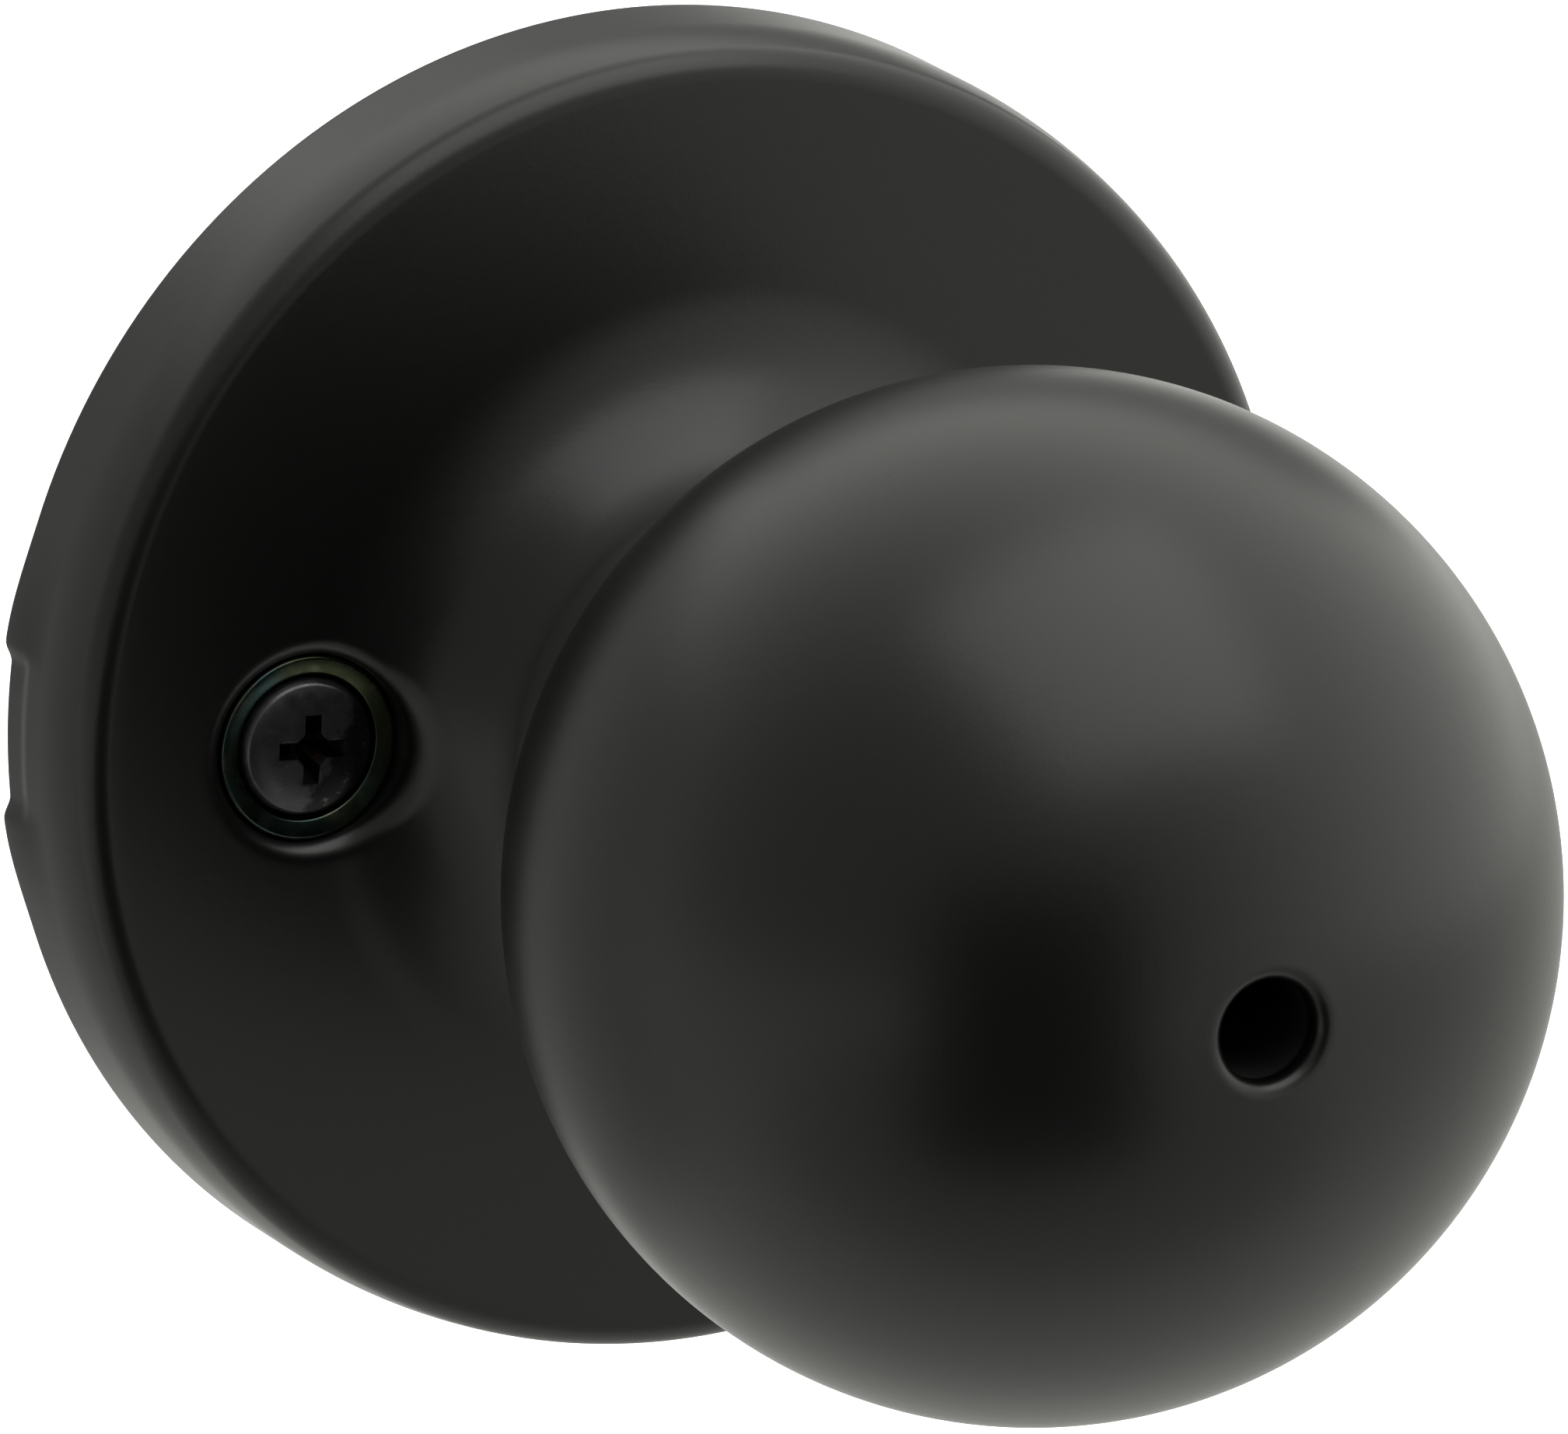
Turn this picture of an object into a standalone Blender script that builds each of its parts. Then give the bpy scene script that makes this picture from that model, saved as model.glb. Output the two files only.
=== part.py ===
"""Inside half of a round privacy door knob: a dished rose with its spring cage, and a ball knob on a hollow
shank with an emergency release stem through its centre.

The knob's axis is world Y. The door's face is the plane y = 0, and the knob points to -Y. Turned parts are
drawn as a radius and a height, where the height is the distance out from the door's face.
"""

import math

import bmesh
import bpy
from mathutils import Matrix, Vector

MM = 0.001
GAP = 0.3 * MM
FACE_OUT = (math.pi / 2, 0.0, 0.0)

# Rose
ROSE_RADIUS = 33.35 * MM
ROSE_SHEET = 1.0 * MM
WALL_HEIGHT = 4.2 * MM
WALL_CURVE = 16.0 * MM
WALL_CURVE_END = 12.0
SHOULDER_RADIUS = 1.6 * MM
FACE_SLOPE = 3.5
COLLAR_RADIUS = 12.6 * MM
COLLAR_TOP = 17.0 * MM
SWEEP_RADIUS = 9.5 * MM
SWEEP_CENTRE = 22.0 * MM
SWEEP_END = 72.0
WELL_X = 21.0 * MM
WELL_RADIUS = 4.75 * MM
WELL_LIP = 0.8 * MM
WELL_LIP_BASE = 7.5 * MM
NOTCH_WIDTH = 8.8 * MM
NOTCH_DEPTH = 0.42 * MM
NOTCH_HEIGHT = 2.6 * MM

# Liner, cage and rivets
LINER_RADIUS = 31.9 * MM
LINER_TOP = 6.9 * MM
LINER_SHEET = 0.8 * MM
LINER_BORE = 10.6 * MM
CUP_RADIUS = 4.55 * MM
CUP_WALL = 0.8 * MM
CUP_RIM = 8.4 * MM
SCREW_HOLE_RADIUS = 2.5 * MM
CAGE_FLANGE_RADIUS = 28.5 * MM
CAGE_FLANGE_TOP = 5.7 * MM
CAGE_SHEET = 0.8 * MM
DRUM_RADIUS = 16.0 * MM
DRUM_BACK = -12.2 * MM
DRUM_BORE = 8.6 * MM
RIVET_CIRCLE = 23.0 * MM
RIVET_RADIUS = 1.15 * MM
RIVET_HEAD_RADIUS = 2.0 * MM
RIVET_COUNT = 4
BUSHING_TOP = 14.8 * MM
BUSHING_FLANGE_RADIUS = 13.5 * MM
BUSHING_FLANGE_TOP = 8.4 * MM
BUSHING_BACK = 4.8 * MM

# Knob turn and its stops
KNOB_TURN = math.radians(55)
LUG_RADIUS = 14.6 * MM
LUG_WIDTH = 4.0 * MM
STOP_RADIUS = 13.6 * MM
STOP_WIDTH = 3.0 * MM
STOP_CLEARANCE = 0.35 * MM

# Return spring
WIRE_RADIUS = 0.7 * MM
SPRING_RADIUS = 11.0 * MM
SPRING_TURNS = 4.5
SPRING_FRONT = 0.2 * MM
SPRING_BACK = -7.0 * MM
SPRING_START = math.radians(270)
SPRING_LEG_END = 14.4 * MM
POINTS_PER_TURN = 20

# Knob
BALL_RADIUS = 25.4 * MM
BALL_CENTRE = 45.7 * MM
BALL_WALL = 1.2 * MM
NECK_RADIUS = 11.2 * MM
NECK_WALL = 1.0 * MM
NECK_FILLET = 2.5 * MM
NECK_END = 16.2 * MM
RELEASE_HOLE_RADIUS = 2.55 * MM
RELEASE_DISH_RADIUS = 2.95 * MM
RELEASE_DISH_DEPTH = 0.5 * MM
SHANK_RADIUS = 8.0 * MM
SHANK_BORE = 6.9 * MM
SHANK_FRONT = 20.6 * MM
SHANK_BACK = -16.5 * MM
RING_GROOVE_RADIUS = 7.45 * MM
RING_GROOVE_FRONT = -13.3 * MM
RING_GROOVE_BACK = -14.7 * MM
TANG_WIDTH = 2.6 * MM
DRIVER_HUB_RADIUS = 9.6 * MM
DRIVER_DISC_RADIUS = 12.7 * MM
DRIVER_DISC_FRONT = -8.2 * MM
DRIVER_DISC_BACK = -9.4 * MM

# Spindle and release stem
SPINDLE_RADIUS = 4.0 * MM
SPINDLE_BORE = 2.75 * MM
SPINDLE_FRONT = 30.5 * MM
SPINDLE_BACK = -42.0 * MM
SPINDLE_FLAT = 3.25 * MM
SPINDLE_FLAT_FRONT = -17.5 * MM
PIN_RADIUS = 1.0 * MM
PIN_HEIGHT = 22.9 * MM
GUIDE_BORE = 2.6 * MM
GUIDE_RADIUS = 3.6 * MM
STEM_RADIUS = 2.2 * MM
STEM_FRONT = 38.0 * MM
STEM_BACK = -48.0 * MM
CLIP_GROOVE_RADIUS = 1.55 * MM

# Mounting screws, number 8 by one inch
SCREW_HEAD_RADIUS = 3.45 * MM
SCREW_HEAD_TOP = 9.2 * MM
SCREW_HEAD_SEAT = LINER_TOP + GAP
SCREW_SHANK_RADIUS = 2.08 * MM
SCREW_LENGTH = 25.4 * MM
RECESS_LENGTH = 3.9 * MM
RECESS_WIDTH = 0.9 * MM
RECESS_DEPTH = 1.5 * MM


def clear_scene():
    for thing in list(bpy.data.objects):
        bpy.data.objects.remove(thing, do_unlink=True)


def make_collection(name):
    collection = bpy.data.collections.new(name)
    bpy.context.scene.collection.children.link(collection)
    return collection


def make_material(name, colour, roughness, metallic):
    material = bpy.data.materials.new(name)
    material.use_nodes = True
    shader = material.node_tree.nodes["Principled BSDF"]
    shader.inputs["Base Color"].default_value = (*colour, 1.0)
    shader.inputs["Roughness"].default_value = roughness
    shader.inputs["Metallic"].default_value = metallic
    return material


def arc(centre_radius, centre_height, radius, start, end, segments):
    """Points on a circle in the profile plane, with angles in degrees from the radius direction."""
    points = []
    for step in range(segments + 1):
        angle = math.radians(start + (end - start) * step / segments)
        points.append((centre_radius + radius * math.cos(angle), centre_height + radius * math.sin(angle)))
    return points


def add_object(name, data, collection, material=None):
    thing = bpy.data.objects.new(name, data)
    collection.objects.link(thing)
    if material:
        data.materials.append(material)
    return thing


def turned(name, profile, collection, material=None, steps=48, closed=True, x=0.0, z=0.0):
    """A profile of (radius, height) points, turned about the height axis and faced out from the door."""
    mesh = bpy.data.meshes.new(name)
    edges = [(index, index + 1) for index in range(len(profile) - 1)]
    if closed:
        edges.append((len(profile) - 1, 0))
    mesh.from_pydata([(radius, 0.0, height) for radius, height in profile], edges, [])
    thing = add_object(name, mesh, collection, material)
    thing.location = (x, 0.0, z)
    thing.rotation_euler = FACE_OUT
    screw = thing.modifiers.new("Turn", "SCREW")
    screw.steps = steps
    screw.render_steps = steps
    screw.use_merge_vertices = True
    screw.merge_threshold = 0.00001
    return thing


def add_block(name, size, centre, collection, angle=0.0):
    """A box given by its size along radius, height and across, centred on a point and turned about Y."""
    mesh = bpy.data.meshes.new(name)
    work = bmesh.new()
    bmesh.ops.create_cube(work, size=1.0, matrix=Matrix.Diagonal((size[0], size[1], size[2], 1.0)))
    work.to_mesh(mesh)
    work.free()
    block = add_object(name, mesh, collection)
    block.location = centre
    block.rotation_euler = (0.0, -angle, 0.0)
    return block


def add_drill(name, radius, low, high, collection, x=0.0, z=0.0, steps=24):
    """A cylinder along the height axis, used to cut round holes."""
    profile = [(0.0, high), (radius, high), (radius, low), (0.0, low)]
    return turned(name, profile, collection, steps=steps, closed=False, x=x, z=z)


def add_cross_drill(name, radius, reach, height, collection):
    """A cylinder along X, used to cut cross holes."""
    mesh = bpy.data.meshes.new(name)
    work = bmesh.new()
    bmesh.ops.create_cone(
        work, cap_ends=True, segments=20, radius1=radius, radius2=radius, depth=2 * reach,
        matrix=Matrix.Rotation(math.pi / 2, 4, "Y"),
    )
    work.to_mesh(mesh)
    work.free()
    drill = add_object(name, mesh, collection)
    drill.location = (0.0, -height, 0.0)
    return drill


def combine(target, tool, operation, solver="EXACT"):
    """Adds a Boolean that cuts or joins the tool object, which stays as a hidden wire object."""
    tool.hide_render = True
    tool.display_type = "WIRE"
    change = target.modifiers.new(tool.name, "BOOLEAN")
    change.operation = operation
    change.solver = solver
    change.object = tool


def smooth(thing):
    for polygon in thing.data.polygons:
        polygon.use_smooth = True


def on_circle(radius, angle):
    """X and Z of a point on a circle about the knob's axis."""
    return radius * math.cos(angle), radius * math.sin(angle)


def shoulder_centre(inset):
    """Centre of the shoulder's arc, and the radius left to it when the side wall is offset inward."""
    turn = math.radians(WALL_CURVE_END)
    reach = WALL_CURVE - SHOULDER_RADIUS
    radius = ROSE_RADIUS - WALL_CURVE + reach * math.cos(turn)
    return radius, WALL_HEIGHT + reach * math.sin(turn), SHOULDER_RADIUS - inset


def rose_surface(inset, shoulder_steps, sweep_steps):
    """The rose's profile from the sweep out to the rim, offset inward by an amount."""
    shoulder_radius, shoulder_height, bend = shoulder_centre(inset)
    slope = math.tan(math.radians(FACE_SLOPE))
    face_start = shoulder_radius + SHOULDER_RADIUS * math.sin(math.radians(FACE_SLOPE))
    face_top = shoulder_height + SHOULDER_RADIUS * math.cos(math.radians(FACE_SLOPE))
    tangent_radius = SWEEP_CENTRE - SWEEP_RADIUS * math.sin(math.radians(FACE_SLOPE))
    tangent_height = face_top + (face_start - tangent_radius) * slope
    sweep_height = tangent_height + SWEEP_RADIUS * math.cos(math.radians(FACE_SLOPE))
    points = arc(
        SWEEP_CENTRE, sweep_height, SWEEP_RADIUS + inset, 270 - SWEEP_END, 270 - FACE_SLOPE, sweep_steps
    )
    points += arc(shoulder_radius, shoulder_height, bend, 90 - FACE_SLOPE, WALL_CURVE_END, shoulder_steps)
    points += arc(ROSE_RADIUS - WALL_CURVE, WALL_HEIGHT, WALL_CURVE - inset, WALL_CURVE_END, 0, 2)[1:]
    points.append((ROSE_RADIUS - inset, 0.0))
    return points


def rose(parts, cutters, material):
    outside = [(COLLAR_RADIUS - ROSE_SHEET, COLLAR_TOP), (COLLAR_RADIUS, COLLAR_TOP)]
    outside += rose_surface(0.0, 5, 9)
    inside = rose_surface(ROSE_SHEET, 3, 7)
    inside.reverse()
    shell = turned("rose", outside + inside, parts, material, steps=64)

    below = [(radius, height - 0.4 * MM) for radius, height in outside[1:-1]]
    envelope_profile = [(0.0, COLLAR_TOP), *below, (ROSE_RADIUS - 2 * MM, 5 * MM), (0.0, 5 * MM)]
    for side, x in (("left", -WELL_X), ("right", WELL_X)):
        lip_profile = [
            (WELL_RADIUS - 0.5 * MM, COLLAR_TOP),
            (WELL_RADIUS + WELL_LIP, COLLAR_TOP),
            (WELL_RADIUS + WELL_LIP, WELL_LIP_BASE),
            (WELL_RADIUS - 0.5 * MM, WELL_LIP_BASE),
        ]
        lip = turned(f"well_lip_{side}", lip_profile, cutters, steps=32, x=x)
        envelope = turned(f"envelope_{side}", envelope_profile, cutters, steps=64, closed=False)
        combine(lip, envelope, "INTERSECT", "MANIFOLD")
        combine(shell, lip, "UNION", "MANIFOLD")
        well = add_drill(f"well_{side}", WELL_RADIUS, 5 * MM, 14 * MM, cutters, x=x, steps=32)
        combine(shell, well, "DIFFERENCE", "MANIFOLD")

    floor = ROSE_RADIUS - NOTCH_DEPTH
    notch_profile = [
        (floor, NOTCH_HEIGHT), (ROSE_RADIUS + MM, NOTCH_HEIGHT), (ROSE_RADIUS + MM, -MM), (floor, -MM),
    ]
    notch = turned("pry_notch_cutter", notch_profile, cutters, steps=64)
    width = add_block("pry_notch_width", (6 * MM, 12 * MM, NOTCH_WIDTH), (-ROSE_RADIUS, 0.0, 0.0), cutters)
    combine(notch, width, "INTERSECT", "MANIFOLD")
    combine(shell, notch, "DIFFERENCE", "MANIFOLD")
    smooth(shell)
    return shell


def rose_liner(parts, cutters, material):
    bottom = LINER_TOP - LINER_SHEET
    profile = [
        (LINER_BORE, LINER_TOP),
        (LINER_RADIUS - 0.5 * MM, LINER_TOP),
        (LINER_RADIUS, LINER_TOP - 0.5 * MM),
        (LINER_RADIUS, GAP),
        (LINER_RADIUS - LINER_SHEET, GAP),
        (LINER_RADIUS - LINER_SHEET, bottom),
        (LINER_BORE, bottom),
    ]
    liner = turned("rose_liner", profile, parts, material, steps=56)
    middle = LINER_TOP - LINER_SHEET / 2
    for side, x in (("left", -WELL_X), ("right", WELL_X)):
        cup_profile = [
            (CUP_RADIUS - CUP_WALL, CUP_RIM),
            (CUP_RADIUS, CUP_RIM),
            (CUP_RADIUS, middle),
            (CUP_RADIUS - CUP_WALL, middle),
        ]
        cup = turned(f"cup_{side}", cup_profile, cutters, steps=32, x=x)
        combine(liner, cup, "UNION")
        hole = add_drill(f"liner_hole_{side}", SCREW_HOLE_RADIUS, 5 * MM, 9 * MM, cutters, x=x)
        combine(liner, hole, "DIFFERENCE")
    drill_rivet_holes(liner, "liner", cutters)
    smooth(liner)
    return liner


def drill_rivet_holes(target, label, cutters):
    for index in range(RIVET_COUNT):
        x, z = rivet_place(index)
        name = f"{label}_rivet_hole_{index + 1}"
        hole = add_drill(name, RIVET_RADIUS + GAP, 4 * MM, 9 * MM, cutters, x=x, z=z, steps=16)
        combine(target, hole, "DIFFERENCE")


def rivet_place(index):
    return on_circle(RIVET_CIRCLE, math.radians(45) + index * 2 * math.pi / RIVET_COUNT)


def rivet(index, parts, material):
    x, z = rivet_place(index)
    head_seat = LINER_TOP + GAP
    tail_seat = CAGE_FLANGE_TOP - CAGE_SHEET - GAP
    profile = [
        (0.0, head_seat + 0.8 * MM),
        (RIVET_HEAD_RADIUS * 0.6, head_seat + 0.7 * MM),
        (RIVET_HEAD_RADIUS, head_seat + 0.25 * MM),
        (RIVET_HEAD_RADIUS, head_seat),
        (RIVET_RADIUS, head_seat),
        (RIVET_RADIUS, tail_seat),
        (RIVET_HEAD_RADIUS, tail_seat),
        (RIVET_HEAD_RADIUS * 0.8, tail_seat - 0.6 * MM),
        (0.0, tail_seat - 0.6 * MM),
    ]
    pin = turned(f"cage_rivet_{index + 1}", profile, parts, material, steps=20, closed=False, x=x, z=z)
    smooth(pin)
    return pin


def stop_angle():
    """Angle between the driver's lug at rest and the centre of each stop."""
    lug_half = LUG_WIDTH / 2 / STOP_RADIUS
    stop_half = STOP_WIDTH / 2 / STOP_RADIUS
    return KNOB_TURN + lug_half + stop_half + STOP_CLEARANCE / STOP_RADIUS


def spring_cage(parts, cutters, material):
    drum_inner = DRUM_RADIUS - CAGE_SHEET
    flange_bottom = CAGE_FLANGE_TOP - CAGE_SHEET
    profile = [
        (drum_inner, CAGE_FLANGE_TOP),
        (CAGE_FLANGE_RADIUS, CAGE_FLANGE_TOP),
        (CAGE_FLANGE_RADIUS, flange_bottom),
        (DRUM_RADIUS, flange_bottom),
        (DRUM_RADIUS, DRUM_BACK + 0.6 * MM),
        (DRUM_RADIUS - 0.6 * MM, DRUM_BACK),
        (DRUM_BORE, DRUM_BACK),
        (DRUM_BORE, DRUM_BACK + CAGE_SHEET),
        (drum_inner, DRUM_BACK + CAGE_SHEET),
    ]
    cage = turned("spring_cage", profile, parts, material, steps=48)
    for side, turn in (("left", 1), ("right", -1)):
        angle = math.pi / 2 + turn * stop_angle()
        add_tab(cage, f"stop_{side}", STOP_WIDTH, STOP_RADIUS, -8.3 * MM, 1.9 * MM, angle, cutters)
    for side, turn in (("left", -1), ("right", 1)):
        angle = SPRING_START + turn * math.asin((WIRE_RADIUS + 0.4 * MM + 0.6 * MM) / STOP_RADIUS)
        add_tab(cage, f"leg_tab_{side}", 1.2 * MM, 13.2 * MM, 0.3 * MM, 1.8 * MM, angle, cutters)
    for side, x in (("left", -WELL_X), ("right", WELL_X)):
        hole = add_drill(f"cage_hole_{side}", SCREW_HOLE_RADIUS, 4 * MM, 9 * MM, cutters, x=x)
        combine(cage, hole, "DIFFERENCE")
    drill_rivet_holes(cage, "cage", cutters)
    smooth(cage)
    return cage


def add_tab(cage, name, width, inner_radius, centre_height, length, angle, cutters):
    """A tab pressed inward from the drum's wall."""
    outer_radius = DRUM_RADIUS - CAGE_SHEET / 2
    x, z = on_circle((inner_radius + outer_radius) / 2, angle)
    size = (outer_radius - inner_radius, length, width)
    tab = add_block(name, size, (x, -centre_height, z), cutters, angle)
    combine(cage, tab, "UNION")


def neck_bushing(parts, material):
    inner = SHANK_RADIUS + 0.25 * MM
    profile = [
        (inner, BUSHING_TOP),
        (NECK_RADIUS, BUSHING_TOP),
        (NECK_RADIUS, BUSHING_FLANGE_TOP),
        (BUSHING_FLANGE_RADIUS, BUSHING_FLANGE_TOP),
        (BUSHING_FLANGE_RADIUS, LINER_TOP + GAP),
        (LINER_BORE - GAP, LINER_TOP + GAP),
        (LINER_BORE - GAP, BUSHING_BACK),
        (inner, BUSHING_BACK),
    ]
    bushing = turned("neck_bushing", profile, parts, material)
    smooth(bushing)
    return bushing


def washer(name, inner, outer, top, thickness, parts, material, steps=48):
    profile = [(inner, top), (outer, top), (outer, top - thickness), (inner, top - thickness)]
    ring = turned(name, profile, parts, material, steps=steps)
    smooth(ring)
    return ring


def return_spring(parts, material):
    """A torsion coil. Its front leg sits between two cage tabs and its back tang enters the driver's disc."""
    curve = bpy.data.curves.new("return_spring", "CURVE")
    curve.dimensions = "3D"
    curve.bevel_depth = WIRE_RADIUS
    curve.bevel_resolution = 2
    curve.use_fill_caps = True
    leg_x, leg_z = on_circle(SPRING_LEG_END, SPRING_START)
    points = [Vector((leg_x, -SPRING_FRONT, leg_z))]
    count = round(SPRING_TURNS * POINTS_PER_TURN)
    for step in range(count + 1):
        share = step / count
        x, z = on_circle(SPRING_RADIUS, SPRING_START + share * SPRING_TURNS * 2 * math.pi)
        height = SPRING_FRONT + (SPRING_BACK - SPRING_FRONT) * share
        points.append(Vector((x, -height, z)))
    tang_x, tang_z = on_circle(SPRING_RADIUS, SPRING_START + SPRING_TURNS * 2 * math.pi)
    points.append(Vector((tang_x, -(DRIVER_DISC_BACK + 0.2 * MM), tang_z)))
    spline = curve.splines.new("POLY")
    spline.points.add(len(points) - 1)
    for point, place in zip(spline.points, points):
        point.co = (*place, 1.0)
    return add_object("return_spring", curve, parts, material)


def mounting_screw(side, x, parts, cutters, material):
    profile = [
        (0.0, SCREW_HEAD_TOP),
        (SCREW_HEAD_RADIUS * 0.5, SCREW_HEAD_TOP - 0.1 * MM),
        (SCREW_HEAD_RADIUS * 0.85, SCREW_HEAD_TOP - 0.4 * MM),
        (SCREW_HEAD_RADIUS, SCREW_HEAD_TOP - 0.8 * MM),
        (SCREW_HEAD_RADIUS, SCREW_HEAD_SEAT),
        (SCREW_SHANK_RADIUS, SCREW_HEAD_SEAT),
        (SCREW_SHANK_RADIUS, SCREW_HEAD_SEAT - SCREW_LENGTH + 0.6 * MM),
        (SCREW_SHANK_RADIUS - 0.6 * MM, SCREW_HEAD_SEAT - SCREW_LENGTH),
        (0.0, SCREW_HEAD_SEAT - SCREW_LENGTH),
    ]
    screw = turned(f"mounting_screw_{side}", profile, parts, material, steps=28, closed=False, x=x)
    centre = (x, -(SCREW_HEAD_TOP - RECESS_DEPTH / 2 + 0.5 * MM), 0.0)
    deep = RECESS_DEPTH + 1.0 * MM
    across = add_block(f"recess_across_{side}", (RECESS_LENGTH, deep, RECESS_WIDTH), centre, cutters)
    upright = add_block(f"recess_upright_{side}", (RECESS_WIDTH, deep, RECESS_LENGTH), centre, cutters)
    combine(screw, across, "DIFFERENCE")
    combine(screw, upright, "DIFFERENCE")
    smooth(screw)
    return screw


def knob_shell(parts, material):
    fillet_radius = NECK_RADIUS + NECK_FILLET
    fillet_height = BALL_CENTRE - math.sqrt((BALL_RADIUS + NECK_FILLET) ** 2 - fillet_radius ** 2)
    toward_ball = math.degrees(math.atan2(BALL_CENTRE - fillet_height, -fillet_radius))
    from_ball = toward_ball - 180
    dish_edge = math.degrees(math.acos(RELEASE_DISH_RADIUS / BALL_RADIUS))
    inner_ball = BALL_RADIUS - BALL_WALL
    inner_neck = NECK_RADIUS - NECK_WALL
    hole_front = BALL_CENTRE + math.sqrt(BALL_RADIUS ** 2 - RELEASE_HOLE_RADIUS ** 2) - RELEASE_DISH_DEPTH
    outside = [
        (RELEASE_HOLE_RADIUS, hole_front),
        (RELEASE_HOLE_RADIUS + 0.12 * MM, hole_front + 0.3 * MM),
    ]
    outside += arc(0.0, BALL_CENTRE, BALL_RADIUS, dish_edge, from_ball, 22)
    outside += arc(fillet_radius, fillet_height, NECK_FILLET, toward_ball, 180, 4)[1:]
    outside.append((NECK_RADIUS, NECK_END))
    inner_low = -math.degrees(math.acos(inner_neck / inner_ball))
    inner_high = math.degrees(math.acos(RELEASE_HOLE_RADIUS / inner_ball))
    inside = [(inner_neck, NECK_END)]
    inside += arc(0.0, BALL_CENTRE, inner_ball, inner_low, inner_high, 12)
    shell = turned("knob_shell", outside + inside, parts, material, steps=52)
    smooth(shell)
    return shell


def knob_core(parts, cutters, material):
    bore = SPINDLE_RADIUS + GAP
    neck = NECK_RADIUS - NECK_WALL - GAP
    profile = [
        (bore, 31.5 * MM),
        (5.8 * MM, 31.5 * MM),
        (5.8 * MM, 28.3 * MM),
        (12.8 * MM, 28.3 * MM),
        (12.8 * MM, 26.0 * MM),
        (neck, 23.9 * MM),
        (neck, NECK_END),
        (SHANK_RADIUS + GAP, NECK_END),
        (SHANK_RADIUS + GAP, SHANK_FRONT + GAP),
        (bore, SHANK_FRONT + GAP),
    ]
    core = turned("knob_core", profile, parts, material, steps=40)
    pin_hole = add_cross_drill("core_pin_hole", PIN_RADIUS + 0.2 * MM, 14 * MM, PIN_HEIGHT, cutters)
    combine(core, pin_hole, "DIFFERENCE")
    smooth(core)
    return core


def knob_shank(parts, cutters, material):
    profile = [
        (SHANK_BORE, SHANK_FRONT),
        (SHANK_RADIUS, SHANK_FRONT),
        (SHANK_RADIUS, RING_GROOVE_FRONT),
        (RING_GROOVE_RADIUS, RING_GROOVE_FRONT),
        (RING_GROOVE_RADIUS, RING_GROOVE_BACK),
        (SHANK_RADIUS, RING_GROOVE_BACK),
        (SHANK_RADIUS, SHANK_BACK),
        (SHANK_BORE, SHANK_BACK),
    ]
    shank = turned("knob_shank", profile, parts, material, steps=40)
    slot_front = -9.2 * MM
    slot_back = SHANK_BACK - MM
    size = (20 * MM, slot_front - slot_back, TANG_WIDTH + 2 * GAP)
    slots = add_block("shank_slots", size, (0.0, -(slot_front + slot_back) / 2, 0.0), cutters)
    combine(shank, slots, "DIFFERENCE")
    smooth(shank)
    return shank


def spring_driver(parts, cutters, material):
    inner = SHANK_RADIUS + GAP
    profile = [
        (inner, -0.4 * MM),
        (DRIVER_HUB_RADIUS, -0.4 * MM),
        (DRIVER_HUB_RADIUS, DRIVER_DISC_FRONT),
        (DRIVER_DISC_RADIUS, DRIVER_DISC_FRONT),
        (DRIVER_DISC_RADIUS, DRIVER_DISC_BACK),
        (DRIVER_HUB_RADIUS, DRIVER_DISC_BACK),
        (DRIVER_HUB_RADIUS, -11.0 * MM),
        (inner, -11.0 * MM),
    ]
    driver = turned("spring_driver", profile, parts, material, steps=48)
    lug_base = DRIVER_DISC_RADIUS - 0.6 * MM
    disc_middle = (DRIVER_DISC_FRONT + DRIVER_DISC_BACK) / 2
    size = (LUG_WIDTH, 1.0 * MM, LUG_RADIUS - lug_base)
    lug = add_block("lug", size, (0.0, -disc_middle, (LUG_RADIUS + lug_base) / 2), cutters)
    combine(driver, lug, "UNION")
    for side, turn in (("left", -1), ("right", 1)):
        tang_size = (1.7 * MM, 1.1 * MM, TANG_WIDTH)
        tang = add_block(f"tang_{side}", tang_size, (turn * 8.0 * MM, 10.2 * MM, 0.0), cutters)
        combine(driver, tang, "UNION")
    hole_x, hole_z = on_circle(SPRING_RADIUS, SPRING_START + SPRING_TURNS * 2 * math.pi)
    hole = add_drill(
        "spring_hole", WIRE_RADIUS + 0.4 * MM, -10 * MM, -7 * MM, cutters, x=hole_x, z=hole_z, steps=16
    )
    combine(driver, hole, "DIFFERENCE")
    smooth(driver)
    return driver


def wave_washer(parts, material):
    """A thin ring whose height follows three waves round its edge."""
    flat = washer("wave_washer_flat", SHANK_RADIUS + GAP, 10.4 * MM, -12.65 * MM, 0.3 * MM, parts, None)
    bpy.context.view_layer.update()
    evaluated = flat.evaluated_get(bpy.context.evaluated_depsgraph_get())
    mesh = bpy.data.meshes.new_from_object(evaluated)
    mesh.name = "wave_washer"
    for vertex in mesh.vertices:
        angle = math.atan2(vertex.co.y, vertex.co.x)
        vertex.co.z += 0.12 * MM * math.cos(3 * angle)
    bpy.data.objects.remove(flat, do_unlink=True)
    ring = add_object("wave_washer", mesh, parts, material)
    ring.rotation_euler = FACE_OUT
    return ring


def split_ring(name, inner, outer, top, thickness, opening, parts, cutters, material, steps=40):
    """A retaining ring with an opening at its lowest point."""
    ring = washer(name, inner, outer, top, thickness, parts, material, steps)
    size = (opening, 4 * thickness, 2 * outer)
    mouth = add_block(f"{name}_mouth", size, (0.0, -(top - thickness / 2), -outer), cutters)
    combine(ring, mouth, "DIFFERENCE")
    return ring


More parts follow.
